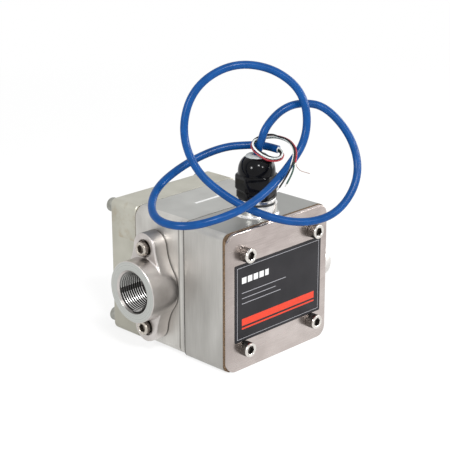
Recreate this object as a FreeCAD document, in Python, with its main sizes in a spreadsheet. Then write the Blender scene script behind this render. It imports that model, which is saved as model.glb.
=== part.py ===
"""Oval gear flow meter with a sensor housing, a cable gland and a loose signal cable.

Frame: the origin lies under the middle of the measuring chamber, on the standing surface.
+X is the way the liquid flows, from the inlet port to the outlet port.
+Y points from the label plate to the rear cover, +Z points up to the cable gland.
All sizes are millimetres.
"""
import FreeCAD, Part
import math
import os
from types import SimpleNamespace

import Sketcher

Vector = FreeCAD.Vector
doc = FreeCAD.newDocument("flow_meter")
sheet = doc.addObject("Spreadsheet::Sheet", "dims")

driving_sizes = {
    # Stack of square blocks, front to back
    "face_size": 114.3,
    "plate_depth": 3.0,
    "gasket_depth": 2.4,
    "housing_depth": 43.0,
    "chamber_depth": 56.0,
    "cover_depth": 31.0,
    "plate_corner": 9.0,
    "plate_edge": 0.5,
    "housing_corner": 6.0,
    "chamber_corner": 9.0,
    "cover_corner": 5.0,
    "cover_edge": 3.0,
    "seam_bevel": 6.0,
    "seam_edge": 0.7,
    # Sensor housing
    "housing_wall": 7.15,
    "post_cover": 11.0,
    "floor_depth": 6.0,
    "boss_diameter": 33.0,
    "boss_height": 9.3,
    "flare_margin": 0.1,
    "gland_inset": 19.0,
    "stub_diameter": 20.0,
    "stub_length": 14.0,
    "plug_head": 31.0,
    "plug_rise": 7.9,
    "plug_edge": 0.6,
    "plug_socket": 10.0,
    "plug_socket_depth": 5.0,
    # Screws
    "cover_screw": 7.94,
    "cover_screw_head": 12.0,
    "cover_screw_rise": 7.94,
    "cover_screw_length": 25.0,
    "cover_socket": 6.35,
    "cover_socket_depth": 4.0,
    "cover_screw_pitch": 78.0,
    "rear_bolt_grip": 15.0,
    "rear_bolt_pitch": 97.0,
    "inner_screw": 6.0,
    "inner_screw_head": 10.0,
    "inner_screw_rise": 6.0,
    "inner_socket": 5.0,
    "inner_socket_depth": 3.0,
    "inner_screw_grip": 9.0,
    "inner_screw_margin": 3.0,
    "hole_play": 0.2,
    "thread_fit": 0.05,
    "hole_spare": 3.0,
    # Label and flow arrow
    "label_inset": 7.65,
    "label_margin": 1.0,
    "label_depth": 0.5,
    "label_drop": 1.0,
    "arrow_length": 34.0,
    "arrow_width": 3.2,
    "arrow_head": 7.0,
    "arrow_cut": 0.5,
    # Oval rotors
    "rotor_pitch": 21.0,
    "oval_swing": 3.6,
    "tooth_height": 1.0,
    "tooth_count": 22,
    "mesh_play": 0.55,
    "wall_play": 0.35,
    "pocket_depth": 40.0,
    "end_play": 0.2,
    "washer_depth": 0.8,
    "washer_diameter": 16.0,
    "shaft_diameter": 10.0,
    "shaft_seat": 10.0,
    "bush_play": 0.05,
    "bush_diameter": 16.0,
    "magnet_diameter": 5.0,
    "magnet_depth": 4.0,
    "magnet_reach": 12.0,
    # Seals
    "seal_cord": 2.6,
    "seal_groove": 3.4,
    "seal_offset": 5.0,
    "port_seal_radius": 19.6,
    # Port flanges
    "port_wall_radius": 16.6,
    "port_thread_length": 25.0,
    "port_chamfer": 1.6,
    "port_boss_diameter": 50.8,
    "port_reach": 27.15,
    "port_setback": 3.2,
    "port_drop": 2.2,
    "passage_diameter": 22.0,
    "lug_depth": 13.5,
    "lug_radius": 12.5,
    "lug_pitch": 67.0,
    "lug_recess": 14.0,
    "lug_recess_depth": 3.8,
    "lug_screw_grip": 13.5,
    "lug_edge": 1.2,
    "web_fillet": 40.0,
    # Cable gland
    "gland_washer_depth": 3.7,
    "gland_washer_diameter": 30.4,
    "gland_hex": 28.0,
    "gland_hex_height": 7.2,
    "gland_turn": 15.0,
    "gland_spigot": 23.0,
    "gland_spigot_height": 19.0,
    "gland_bore": 14.0,
    "nut_hex": 30.0,
    "nut_hex_height": 12.5,
    "nut_diameter": 29.8,
    "nut_dome_height": 14.6,
    "nut_dome_round": 9.0,
    "nut_opening": 18.0,
    "seal_drop": 0.8,
    # Sensor board
    "board_width": 56.0,
    "board_height": 48.0,
    "board_depth": 1.6,
    "board_post": 8.0,
    "board_post_diameter": 6.0,
    "board_post_width": 48.0,
    "board_post_height": 40.0,
    "board_screw": 3.0,
    "board_screw_head": 5.4,
    "board_screw_rise": 2.4,
    "board_screw_grip": 5.0,
    "terminal_width": 26.0,
    "terminal_height": 9.0,
    "terminal_depth": 10.0,
    "terminal_lift": 12.0,
    "reed_length": 15.0,
    "reed_height": 3.0,
    "hall_width": 4.2,
    "hall_depth": 1.7,
    # Cords
    "cable_diameter": 6.0,
    "wire_diameter": 1.3,
    "wire_lane": 0.8,
}
for row, (name, value) in enumerate(driving_sizes.items(), 1):
    sheet.set("A%d" % row, name)
    sheet.set("B%d" % row, str(value))
    sheet.setAlias("B%d" % row, name)
doc.recompute()

d = SimpleNamespace(**{name: "dims." + name for name in driving_sizes})


def value_of(rule):
    """Work out a rule written in sheet names."""
    return float(sheet.evalExpression(rule))


# Rules that several pieces share
middle = f"{d.face_size} / 2"
chamber_front = f"-{d.chamber_depth} / 2"
chamber_back = f"{d.chamber_depth} / 2"
housing_front = f"({chamber_front} - {d.housing_depth})"
gasket_front = f"({housing_front} - {d.gasket_depth})"
plate_front = f"({gasket_front} - {d.plate_depth})"
cover_back = f"({chamber_back} + {d.cover_depth})"
floor_front = f"({chamber_front} - {d.floor_depth})"
board_back = f"({floor_front} - {d.board_post})"
board_front = f"({board_back} - {d.board_depth})"
gland_setback = f"({d.housing_depth} - {d.gland_inset})"
gland_line = f"({chamber_front} - {gland_setback})"
cavity_size = f"({d.face_size} - 2 * {d.housing_wall})"
inner_screw_reach = f"({cavity_size} / 2 - {d.inner_screw_head} / 2 - {d.inner_screw_margin})"
boss_top = f"({d.face_size} + {d.boss_height})"
rotor_reach = f"({d.rotor_pitch} + {d.oval_swing} + {d.tooth_height} - {d.mesh_play})"
chamber_radius = f"({rotor_reach} + {d.wall_play})"
seal_radius = f"({chamber_radius} + {d.seal_offset})"
rotor_depth = f"({d.pocket_depth} - 2 * {d.washer_depth} - 2 * {d.end_play})"


def new_body(name, y="0", z=middle, x="0"):
    """Start a body whose own origin sits at rule-driven coordinates."""
    body = doc.addObject("PartDesign::Body", name)
    body.Label = name
    for axis, rule in zip("xyz", (x, y, z)):
        body.setExpression("Placement.Base." + axis, rule)
    return body


def new_sketch(body, plane_role, offset="0"):
    """Add a sketch on one of the body's own planes, moved along the plane's normal."""
    sketch = body.newObject("Sketcher::SketchObject", body.Name + "_sketch")
    plane = [part for part in body.Origin.OriginFeatures if part.Role == plane_role][0]
    sketch.AttachmentSupport = [(plane, "")]
    sketch.MapMode = "FlatFace"
    sketch.setExpression("AttachmentOffset.Base.z", offset)
    return sketch


def pin(sketch, item, point, x, y):
    """Hold one point of a sketch at rule-driven coordinates."""
    for kind, rule, axis in (("DistanceX", x, -2), ("DistanceY", y, -1)):
        if rule == "0":
            sketch.addConstraint(Sketcher.Constraint("PointOnObject", item, point, axis))
        else:
            number = sketch.addConstraint(
                Sketcher.Constraint(kind, -1, 1, item, point, value_of(rule)))
            sketch.setExpression("Constraints[%d]" % number, rule)


def add_circle(sketch, radius, x="0", y="0"):
    """Draw a circle with its centre and radius driven by rules."""
    centre = Vector(value_of(x), value_of(y), 0)
    size = value_of(radius)
    item = sketch.addGeometry(Part.Circle(centre, Vector(0, 0, 1), size), False)
    pin(sketch, item, 3, x, y)
    number = sketch.addConstraint(Sketcher.Constraint("Radius", item, size))
    sketch.setExpression("Constraints[%d]" % number, radius)


def add_polygon(sketch, corners):
    """Draw a closed outline of straight lines through rule-driven corners."""
    spots = [Vector(value_of(x), value_of(y), 0) for x, y in corners]
    count = len(spots)
    first = sketch.GeometryCount
    for index in range(count):
        line = Part.LineSegment(spots[index], spots[(index + 1) % count])
        sketch.addGeometry(line, False)
    for index in range(count):
        following = first + (index + 1) % count
        sketch.addConstraint(Sketcher.Constraint("Coincident", first + index, 2, following, 1))
    for index, (x, y) in enumerate(corners):
        pin(sketch, first + index, 1, x, y)


def add_rectangle(sketch, width, height, x="0", y="0"):
    """Draw a rectangle about a rule-driven centre."""
    left, right = f"({x}) - ({width}) / 2", f"({x}) + ({width}) / 2"
    low, high = f"({y}) - ({height}) / 2", f"({y}) + ({height}) / 2"
    add_polygon(sketch, [(left, low), (right, low), (right, high), (left, high)])


def add_hexagon(sketch, across_flats, x="0", y="0"):
    """Draw a hexagon with two corners on the sketch's own x line."""
    reach = f"({across_flats}) / 2 / cos(30)"
    corners = []
    for corner in range(6):
        angle = math.radians(60 * corner)
        corners.append((f"({x}) + {reach} * {math.cos(angle):.12f}",
                        f"({y}) + {reach} * {math.sin(angle):.12f}"))
    add_polygon(sketch, corners)


def add_stadium(sketch, half_length, radius):
    """Draw an upright outline of two half circles joined by straight sides."""
    rise, size = value_of(half_length), value_of(radius)
    axis = Vector(0, 0, 1)
    top_circle = Part.Circle(Vector(0, rise, 0), axis, size)
    low_circle = Part.Circle(Vector(0, -rise, 0), axis, size)
    top = sketch.addGeometry(Part.ArcOfCircle(top_circle, 0, math.pi), False)
    low = sketch.addGeometry(Part.ArcOfCircle(low_circle, math.pi, 2 * math.pi), False)
    left = sketch.addGeometry(
        Part.LineSegment(Vector(-size, rise, 0), Vector(-size, -rise, 0)), False)
    right = sketch.addGeometry(
        Part.LineSegment(Vector(size, -rise, 0), Vector(size, rise, 0)), False)
    for first, point, second, other in (
            (top, 2, left, 1), (left, 2, low, 1), (low, 2, right, 1), (right, 2, top, 1)):
        sketch.addConstraint(Sketcher.Constraint("Coincident", first, point, second, other))
    for arc, height in ((top, half_length), (low, f"-({half_length})")):
        pin(sketch, arc, 3, "0", height)
        sketch.addConstraint(Sketcher.Constraint("Horizontal", arc, 1, arc, 3))
        sketch.addConstraint(Sketcher.Constraint("Horizontal", arc, 2, arc, 3))
        number = sketch.addConstraint(Sketcher.Constraint("Radius", arc, size))
        sketch.setExpression("Constraints[%d]" % number, radius)


def pad(body, sketch, length, flip=False):
    """Grow a sketch into a solid."""
    feature = body.newObject("PartDesign::Pad", body.Name + "_pad")
    feature.Profile = sketch
    feature.setExpression("Length", length)
    feature.Reversed = flip
    sketch.Visibility = False
    doc.recompute()
    return feature


def cut(body, sketch, length=None, flip=False):
    """Cut a sketch into the body, all the way through where no length is given."""
    before = body.Tip.Shape.Volume
    feature = body.newObject("PartDesign::Pocket", body.Name + "_cut")
    feature.Profile = sketch
    if length is None:
        feature.Type = "ThroughAll"
        feature.SideType = "Symmetric"
    else:
        feature.setExpression("Length", length)
    feature.Reversed = flip
    sketch.Visibility = False
    doc.recompute()
    if feature.Shape.Volume > before - 1e-3:
        raise RuntimeError("nothing was cut from " + body.Label)
    return feature


def spin(body, sketch, axis_role):
    """Turn a sketch once round one of the body's own axes."""
    feature = body.newObject("PartDesign::Revolution", body.Name + "_turn")
    feature.Profile = sketch
    axis = [part for part in body.Origin.OriginFeatures if part.Role == axis_role][0]
    feature.ReferenceAxis = (axis, [""])
    feature.Angle = 360
    sketch.Visibility = False
    doc.recompute()
    return feature


def dress(body, kind, chosen, size_name, rule):
    """Round or bevel the edges for which the test says yes."""
    base = body.Tip
    names = ["Edge%d" % number for number, edge in enumerate(base.Shape.Edges, 1) if chosen(edge)]
    if not names:
        raise RuntimeError("no edge to dress on " + body.Label)
    feature = body.newObject("PartDesign::" + kind, body.Name + "_" + kind.lower())
    feature.Base = (base, names)
    feature.setExpression(size_name, rule)
    doc.recompute()
    return feature


def round_edges(body, chosen, radius):
    """Fillet the chosen edges."""
    return dress(body, "Fillet", chosen, "Radius", radius)


def bevel_edges(body, chosen, size):
    """Chamfer the chosen edges."""
    return dress(body, "Chamfer", chosen, "Size", size)


def runs_along_y(edge):
    """Tell whether an edge is a straight line along the stack."""
    first, last = edge.Vertexes[0].Point, edge.Vertexes[-1].Point
    return abs(first.x - last.x) < 1e-4 and abs(first.z - last.z) < 1e-4


def lies_at_y(edge, level):
    """Tell whether a whole edge lies in one plane across the stack."""
    box = edge.BoundBox
    return abs(box.YMin - level) < 1e-4 and abs(box.YMax - level) < 1e-4


def square_spots(pitch):
    """Give the four corners of a square of screw positions."""
    half = f"{pitch} / 2"
    return [(half, half), (f"-{half}", half), (f"-{half}", f"-{half}"), (half, f"-{half}")]


def cross_spots(reach):
    """Give four screw positions on a cross."""
    return [(reach, "0"), (f"-{reach}", "0"), ("0", reach), ("0", f"-{reach}")]


def add_circles(sketch, radius, spots):
    """Draw the same circle at several spots."""
    for x, y in spots:
        add_circle(sketch, radius, x, y)


def add_hexagons(sketch, across_flats, spots):
    """Draw the same hexagon at several spots."""
    for x, y in spots:
        add_hexagon(sketch, across_flats, x, y)


def screw_set(name, seat, spots, thread, head, rise, length, socket=None, toward_back=False):
    """Make one node of like screws: heads in front of the seat plane, shanks behind it."""
    body = new_body(name, seat)
    heads = new_sketch(body, "XZ_Plane")
    add_circles(heads, f"{head} / 2", spots)
    pad(body, heads, rise, toward_back)
    shanks = new_sketch(body, "XZ_Plane")
    add_circles(shanks, f"{thread} / 2", spots)
    pad(body, shanks, length, not toward_back)
    if socket:
        width, depth = socket
        sockets = new_sketch(body, "XZ_Plane", f"-{rise}" if toward_back else rise)
        add_hexagons(sockets, width, spots)
        cut(body, sockets, depth, toward_back)
    return body


def square_block(name, back, depth, corner):
    """Start a square block from its back plane, with rounded corners along the stack."""
    body = new_body(name, back)
    outline = new_sketch(body, "XZ_Plane")
    add_rectangle(outline, d.face_size, d.face_size)
    pad(body, outline, depth)
    round_edges(body, runs_along_y, corner)
    return body


def add_cavity_outline(sketch):
    """Draw the housing's eight-sided opening that leaves a screw post in each corner."""
    side = f"{cavity_size} / 2"
    short = f"({d.cover_screw_pitch} - {d.post_cover} - {cavity_size} / 2)"
    add_polygon(sketch, [
        (side, f"-{short}"), (side, short), (short, side), (f"-{short}", side),
        (f"-{side}", short), (f"-{side}", f"-{short}"), (f"-{short}", f"-{side}"),
        (short, f"-{side}")])


# Measuring chamber: a block with a pocket for the two rotors, open to the back
chamber = square_block("chamber_body", chamber_back, d.chamber_depth, d.chamber_corner)
front_level = -value_of(d.chamber_depth)
bevel_edges(chamber, lambda edge: lies_at_y(edge, front_level), d.seam_edge)
for side in ("", "-"):
    upright = new_sketch(chamber, "XY_Plane")
    add_polygon(upright, [
        (f"{side}{d.face_size} / 2", f"-{d.chamber_depth}"),
        (f"{side}{d.face_size} / 2", f"-{d.chamber_depth} + {d.seam_bevel}"),
        (f"{side}({d.face_size} / 2 - {d.seam_bevel})", f"-{d.chamber_depth}")])
    cut(chamber, upright)
for side in ("", "-"):
    rotor_bore = new_sketch(chamber, "XZ_Plane")
    add_circle(rotor_bore, chamber_radius, "0", f"{side}{d.rotor_pitch}")
    cut(chamber, rotor_bore, d.pocket_depth, True)
shaft_holes = new_sketch(chamber, "XZ_Plane", d.pocket_depth)
add_circles(shaft_holes, f"{d.shaft_diameter} / 2",
            [("0", d.rotor_pitch), ("0", f"-{d.rotor_pitch}")])
cut(chamber, shaft_holes, d.shaft_seat, True)
rear_holes = new_sketch(chamber, "XZ_Plane")
add_circles(rear_holes, f"{d.cover_screw} / 2 + {d.thread_fit}", square_spots(d.rear_bolt_pitch))
cut(chamber, rear_holes, f"{d.rear_bolt_grip} + {d.hole_spare}", True)
front_holes = new_sketch(chamber, "XZ_Plane", d.chamber_depth)
add_circles(front_holes, f"{d.inner_screw} / 2 + {d.thread_fit}", cross_spots(inner_screw_reach))
cut(chamber, front_holes, f"{d.inner_screw_grip} + {d.hole_spare}")
port_line = f"({d.port_setback} - {d.chamber_depth} / 2)"
passage = new_sketch(chamber, "YZ_Plane")
add_circle(passage, f"{d.passage_diameter} / 2", port_line, f"-{d.port_drop}")
cut(chamber, passage)
lug_holes = [(port_line, f"{d.lug_pitch} / 2 - {d.port_drop}"),
             (port_line, f"-{d.lug_pitch} / 2 - {d.port_drop}")]
for side, flip in (("", False), ("-", True)):
    side_holes = new_sketch(chamber, "YZ_Plane", f"{side}{d.face_size} / 2")
    add_circles(side_holes, f"{d.cover_screw} / 2 + {d.thread_fit}", lug_holes)
    cut(chamber, side_holes, f"{d.lug_screw_grip} + {d.hole_spare}", flip)
arrow = new_sketch(chamber, "XY_Plane", middle)
arrow_y = f"-{d.chamber_depth} / 2"
arrow_neck = f"({d.arrow_length} / 2 - {d.arrow_head})"
add_polygon(arrow, [
    (f"-{d.arrow_length} / 2", f"{arrow_y} - {d.arrow_width} / 2"),
    (arrow_neck, f"{arrow_y} - {d.arrow_width} / 2"),
    (arrow_neck, f"{arrow_y} - {d.arrow_head} / 2"),
    (f"{d.arrow_length} / 2", arrow_y),
    (arrow_neck, f"{arrow_y} + {d.arrow_head} / 2"),
    (arrow_neck, f"{arrow_y} + {d.arrow_width} / 2"),
    (f"-{d.arrow_length} / 2", f"{arrow_y} + {d.arrow_width} / 2")])
cut(chamber, arrow, d.arrow_cut)

# Rear cover with its seal groove and shaft seats
rear_cover = square_block("rear_cover", cover_back, d.cover_depth, d.cover_corner)
round_edges(rear_cover, lambda edge: lies_at_y(edge, 0), d.cover_edge)
cover_front = -value_of(d.cover_depth)
bevel_edges(rear_cover, lambda edge: lies_at_y(edge, cover_front), d.seam_edge)
groove = new_sketch(rear_cover, "XZ_Plane", d.cover_depth)
add_stadium(groove, d.rotor_pitch, f"{seal_radius} + {d.seal_groove} / 2")
add_stadium(groove, d.rotor_pitch, f"{seal_radius} - {d.seal_groove} / 2")
cut(rear_cover, groove, d.seal_cord)
shaft_seats = new_sketch(rear_cover, "XZ_Plane", d.cover_depth)
add_circles(shaft_seats, f"{d.shaft_diameter} / 2",
            [("0", d.rotor_pitch), ("0", f"-{d.rotor_pitch}")])
cut(rear_cover, shaft_seats, d.shaft_seat)
bolt_holes = new_sketch(rear_cover, "XZ_Plane")
add_circles(bolt_holes, f"{d.cover_screw} / 2 + {d.hole_play}", square_spots(d.rear_bolt_pitch))
cut(rear_cover, bolt_holes)

rear_seal = new_body("rear_cover_oring", f"{chamber_back} + {d.seal_cord} / 2")
seal_spine = new_sketch(rear_seal, "XZ_Plane")
add_stadium(seal_spine, d.rotor_pitch, seal_radius)
seal_section = new_sketch(rear_seal, "XY_Plane")
add_circle(seal_section, f"{d.seal_cord} / 2", seal_radius)
doc.recompute()
seal_pipe = rear_seal.newObject("PartDesign::AdditivePipe", "seal_pipe")
seal_pipe.Profile = seal_section
seal_pipe.Spine = (seal_spine, [])
doc.recompute()

screw_set("rear_cover_bolts", cover_back, square_spots(d.rear_bolt_pitch), d.cover_screw,
          d.cover_screw_head, d.cover_screw_rise, f"{d.cover_depth} + {d.rear_bolt_grip}",
          (d.cover_socket, d.cover_socket_depth), True)

# Sensor housing: open to the front, with a round boss on top for the gland and one on the right for a plug
housing = square_block("front_housing", chamber_front, d.housing_depth, d.housing_corner)
boss = new_sketch(housing, "XY_Plane", middle)
add_circle(boss, f"{d.boss_diameter} / 2", "0", f"-{gland_setback}")
pad(housing, boss, d.boss_height)
side_boss = new_sketch(housing, "YZ_Plane", middle)
add_circle(side_boss, f"{d.boss_diameter} / 2", f"-{gland_setback}")
pad(housing, side_boss, d.boss_height)
boss_foot = value_of(middle)
boss_radius = value_of(d.boss_diameter) / 2
flare = f"{d.gland_inset} - {d.boss_diameter} / 2 - {d.flare_margin}"
round_edges(housing, lambda edge: abs(edge.BoundBox.ZMin - boss_foot) < 1e-4
            and abs(edge.BoundBox.ZMax - boss_foot) < 1e-4
            and abs(edge.BoundBox.XLength - 2 * boss_radius) < 1e-3, flare)
round_edges(housing, lambda edge: abs(edge.BoundBox.XMin - boss_foot) < 1e-4
            and abs(edge.BoundBox.XMax - boss_foot) < 1e-4
            and abs(edge.BoundBox.ZLength - 2 * boss_radius) < 1e-3, flare)
cavity = new_sketch(housing, "XZ_Plane", d.housing_depth)
add_cavity_outline(cavity)
cut(housing, cavity, f"{d.housing_depth} - {d.floor_depth}")
gland_hole = new_sketch(housing, "XY_Plane", f"{middle} + {d.boss_height}")
add_circle(gland_hole, f"{d.stub_diameter} / 2 + {d.thread_fit}", "0", f"-{gland_setback}")
cut(housing, gland_hole, f"{d.boss_height} + {d.housing_wall} + 1")
plug_hole = new_sketch(housing, "YZ_Plane", f"{middle} + {d.boss_height}")
add_circle(plug_hole, f"{d.stub_diameter} / 2 + {d.thread_fit}", f"-{gland_setback}")
cut(housing, plug_hole, f"{d.boss_height} + {d.housing_wall} + 1")
post_holes = new_sketch(housing, "XZ_Plane", d.housing_depth)
add_circles(post_holes, f"{d.cover_screw} / 2 + {d.thread_fit}", square_spots(d.cover_screw_pitch))
cut(housing, post_holes, f"{d.cover_screw_length} - {d.plate_depth} - {d.gasket_depth} + {d.hole_spare}")
floor_holes = new_sketch(housing, "XZ_Plane")
add_circles(floor_holes, f"{d.inner_screw} / 2 + {d.hole_play}", cross_spots(inner_screw_reach))
cut(housing, floor_holes, d.floor_depth, True)
board_spots = [(f"{x}{d.board_post_width} / 2", f"{y}{d.board_post_height} / 2")
               for x in ("", "-") for y in ("", "-")]
posts = new_sketch(housing, "XZ_Plane", d.floor_depth)
add_circles(posts, f"{d.board_post_diameter} / 2", board_spots)
pad(housing, posts, d.board_post)
post_bores = new_sketch(housing, "XZ_Plane", f"{d.floor_depth} + {d.board_post}")
add_circles(post_bores, f"{d.board_screw} / 2 + {d.thread_fit}", board_spots)
cut(housing, post_bores, f"{d.board_screw_grip} + 1")

screw_set("housing_screws", floor_front, cross_spots(inner_screw_reach), d.inner_screw,
          d.inner_screw_head, d.inner_screw_rise, f"{d.floor_depth} + {d.inner_screw_grip}",
          (d.inner_socket, d.inner_socket_depth))

# Stopping plug in the second entry: a round head with a hexagon socket
plug = new_body("conduit_plug", gland_line, middle, f"{d.face_size} / 2 + {d.boss_height}")
plug_disc = new_sketch(plug, "YZ_Plane")
add_circle(plug_disc, f"{d.plug_head} / 2")
pad(plug, plug_disc, d.plug_rise)
plug_face = value_of(d.plug_rise)
bevel_edges(plug, lambda edge: abs(edge.BoundBox.XMin - plug_face) < 1e-4, d.plug_edge)
plug_stub = new_sketch(plug, "YZ_Plane")
add_circle(plug_stub, f"{d.stub_diameter} / 2")
pad(plug, plug_stub, d.stub_length, True)
plug_key = new_sketch(plug, "YZ_Plane", d.plug_rise)
add_hexagon(plug_key, d.plug_socket)
cut(plug, plug_key, d.plug_socket_depth)

# Gasket, label plate and its screws
gasket = square_block("cover_gasket", housing_front, d.gasket_depth, d.housing_corner)
window = new_sketch(gasket, "XZ_Plane")
add_cavity_outline(window)
add_circles(window, f"{d.cover_screw} / 2 + {d.hole_play}", square_spots(d.cover_screw_pitch))
cut(gasket, window)

plate = square_block("front_cover", gasket_front, d.plate_depth, d.plate_corner)
plate_level = -value_of(d.plate_depth)
bevel_edges(plate, lambda edge: lies_at_y(edge, plate_level), d.plate_edge)
plate_holes = new_sketch(plate, "XZ_Plane")
add_circles(plate_holes, f"{d.cover_screw} / 2 + {d.hole_play}", square_spots(d.cover_screw_pitch))
cut(plate, plate_holes)

screw_set("cover_screws", plate_front, square_spots(d.cover_screw_pitch), d.cover_screw,
          d.cover_screw_head, d.cover_screw_rise, d.cover_screw_length,
          (d.cover_socket, d.cover_socket_depth))

nameplate = new_body("nameplate", plate_front)
label_outline = new_sketch(nameplate, "XZ_Plane")
add_rectangle(label_outline, f"{d.face_size} - 2 * {d.label_inset}",
              f"{d.cover_screw_pitch} - {d.cover_screw_head} - 2 * {d.label_margin}",
              "0", f"-{d.label_drop}")
pad(nameplate, label_outline, d.label_depth)


def port_flange(name, side, turn):
    """Make a bolted port flange with its seal and screws, standing off one side face."""
    turned = FreeCAD.Rotation(Vector(0, 0, 1), turn)
    side_face = f"{side}{d.face_size} / 2"
    lug_spots = [("0", f"{d.lug_pitch} / 2"), ("0", f"-{d.lug_pitch} / 2")]
    port_height = f"{middle} - {d.port_drop}"
    flange = new_body(name + "_flange", d.port_setback, port_height, side_face)
    flange.Placement.Rotation = turned
    big = f"{d.port_boss_diameter} / 2"
    lugs = new_sketch(flange, "YZ_Plane")
    add_circles(lugs, d.lug_radius, lug_spots)
    pad(flange, lugs, d.lug_depth)
    mouth = new_sketch(flange, "YZ_Plane")
    add_circle(mouth, big)
    pad(flange, mouth, d.port_reach)
    reach, lug_side = value_of(d.port_reach), value_of(d.lug_radius)
    lug_height = value_of(f"{d.lug_pitch} / 2")
    round_edges(flange, lambda edge: edge.BoundBox.XLength > 1 and edge.BoundBox.YLength < 1e-4
                and edge.BoundBox.ZLength < 1e-4 and 0.5 < abs(edge.BoundBox.YMin) < lug_side - 0.2
                and 1 < abs(edge.BoundBox.ZMin) < lug_height - 0.5, d.web_fillet)
    round_edges(flange, lambda edge: abs(edge.BoundBox.XMin - reach) < 1e-4, d.lug_edge)
    thread = new_sketch(flange, "YZ_Plane", d.port_reach)
    add_circle(thread, d.port_wall_radius)
    cut(flange, thread, d.port_thread_length)
    through = new_sketch(flange, "YZ_Plane")
    add_circle(through, f"{d.passage_diameter} / 2")
    cut(flange, through)
    wall = value_of(d.port_wall_radius)
    bevel_edges(flange, lambda edge: abs(edge.BoundBox.XMin - reach) < 1e-4
                and abs(edge.BoundBox.YLength - 2 * wall) < 1e-3, d.port_chamfer)
    recess = new_sketch(flange, "YZ_Plane", d.port_reach)
    add_circles(recess, f"{d.lug_recess} / 2", lug_spots)
    cut(flange, recess, f"{d.port_reach} - {d.lug_depth} + {d.lug_recess_depth}")
    holes = new_sketch(flange, "YZ_Plane")
    add_circles(holes, f"{d.cover_screw} / 2 + {d.hole_play}", lug_spots)
    cut(flange, holes)
    seat = new_sketch(flange, "YZ_Plane")
    add_circle(seat, f"{d.port_seal_radius} + {d.seal_groove} / 2")
    add_circle(seat, f"{d.port_seal_radius} - {d.seal_groove} / 2")
    cut(flange, seat, d.seal_cord, True)

    ring = new_body(name + "_oring", d.port_setback, port_height, side_face)
    ring.Placement.Rotation = turned
    section = new_sketch(ring, "XZ_Plane")
    add_circle(section, f"{d.seal_cord} / 2", f"{d.seal_cord} / 2", d.port_seal_radius)
    spin(ring, section, "X_Axis")

    screws = new_body(name + "_flange_screws", d.port_setback, port_height, side_face)
    screws.Placement.Rotation = turned
    seat_level = f"{d.lug_depth} - {d.lug_recess_depth}"
    heads = new_sketch(screws, "YZ_Plane", seat_level)
    add_circles(heads, f"{d.cover_screw_head} / 2", lug_spots)
    pad(screws, heads, d.cover_screw_rise)
    shanks = new_sketch(screws, "YZ_Plane", seat_level)
    add_circles(shanks, f"{d.cover_screw} / 2", lug_spots)
    pad(screws, shanks, f"{seat_level} + {d.lug_screw_grip}", True)
    sockets = new_sketch(screws, "YZ_Plane", f"{seat_level} + {d.cover_screw_rise}")
    add_hexagons(sockets, d.cover_socket, lug_spots)
    cut(screws, sockets, d.cover_socket_depth)


port_flange("inlet", "-", 180)
port_flange("outlet", "", 0)

# Cable gland on the housing boss
washer = new_body("gland_washer", gland_line, boss_top)
washer_ring = new_sketch(washer, "XY_Plane")
add_circle(washer_ring, f"{d.gland_washer_diameter} / 2")
add_circle(washer_ring, f"{d.stub_diameter} / 2 + {d.thread_fit}")
pad(washer, washer_ring, d.gland_washer_depth)

hex_foot = f"({boss_top} + {d.gland_washer_depth})"
gland = new_body("gland_body", gland_line, hex_foot)
gland.Placement.Rotation = FreeCAD.Rotation(Vector(0, 0, 1), value_of(d.gland_turn))
gland_hex = new_sketch(gland, "XY_Plane")
add_hexagon(gland_hex, d.gland_hex)
pad(gland, gland_hex, d.gland_hex_height)
stub = new_sketch(gland, "XY_Plane")
add_circle(stub, f"{d.stub_diameter} / 2")
pad(gland, stub, f"{d.stub_length} + {d.gland_washer_depth}", True)
spigot = new_sketch(gland, "XY_Plane", d.gland_hex_height)
add_circle(spigot, f"{d.gland_spigot} / 2")
pad(gland, spigot, d.gland_spigot_height)
gland_bore = new_sketch(gland, "XY_Plane")
add_circle(gland_bore, f"{d.gland_bore} / 2")
cut(gland, gland_bore)

nut_foot = f"({hex_foot} + {d.gland_hex_height})"
nut = new_body("gland_dome_nut", gland_line, nut_foot)
nut.Placement.Rotation = FreeCAD.Rotation(Vector(0, 0, 1), value_of(d.gland_turn))
nut_grip = new_sketch(nut, "XY_Plane")
add_hexagon(nut_grip, d.nut_hex)
pad(nut, nut_grip, d.nut_hex_height)
nut_top = new_sketch(nut, "XY_Plane", d.nut_hex_height)
add_circle(nut_top, f"{d.nut_diameter} / 2")
pad(nut, nut_top, d.nut_dome_height)
dome_level = value_of(f"{d.nut_hex_height} + {d.nut_dome_height}")
round_edges(nut, lambda edge: abs(edge.BoundBox.ZMin - dome_level) < 1e-4
            and abs(edge.BoundBox.ZMax - dome_level) < 1e-4, d.nut_dome_round)
nut_thread = new_sketch(nut, "XY_Plane")
add_circle(nut_thread, f"{d.gland_spigot} / 2 + {d.thread_fit}")
cut(nut, nut_thread, d.gland_spigot_height, True)
nut_mouth = new_sketch(nut, "XY_Plane")
add_circle(nut_mouth, f"{d.nut_opening} / 2")
cut(nut, nut_mouth)

# The seal insert sits on the gland body's bore and fills the nut's opening
insert = new_body("gland_seal_insert", gland_line, f"{nut_foot} + {d.gland_spigot_height}")
insert_top = new_sketch(insert, "XY_Plane")
add_circle(insert_top, f"{d.nut_opening} / 2 - {d.thread_fit}")
insert_rise = f"{d.nut_hex_height} + {d.nut_dome_height} - {d.gland_spigot_height} - {d.seal_drop}"
pad(insert, insert_top, insert_rise)
insert_stem = new_sketch(insert, "XY_Plane")
add_circle(insert_stem, f"{d.gland_bore} / 2 - {d.thread_fit}")
pad(insert, insert_stem, f"{d.gland_spigot_height} / 2", True)


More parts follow.
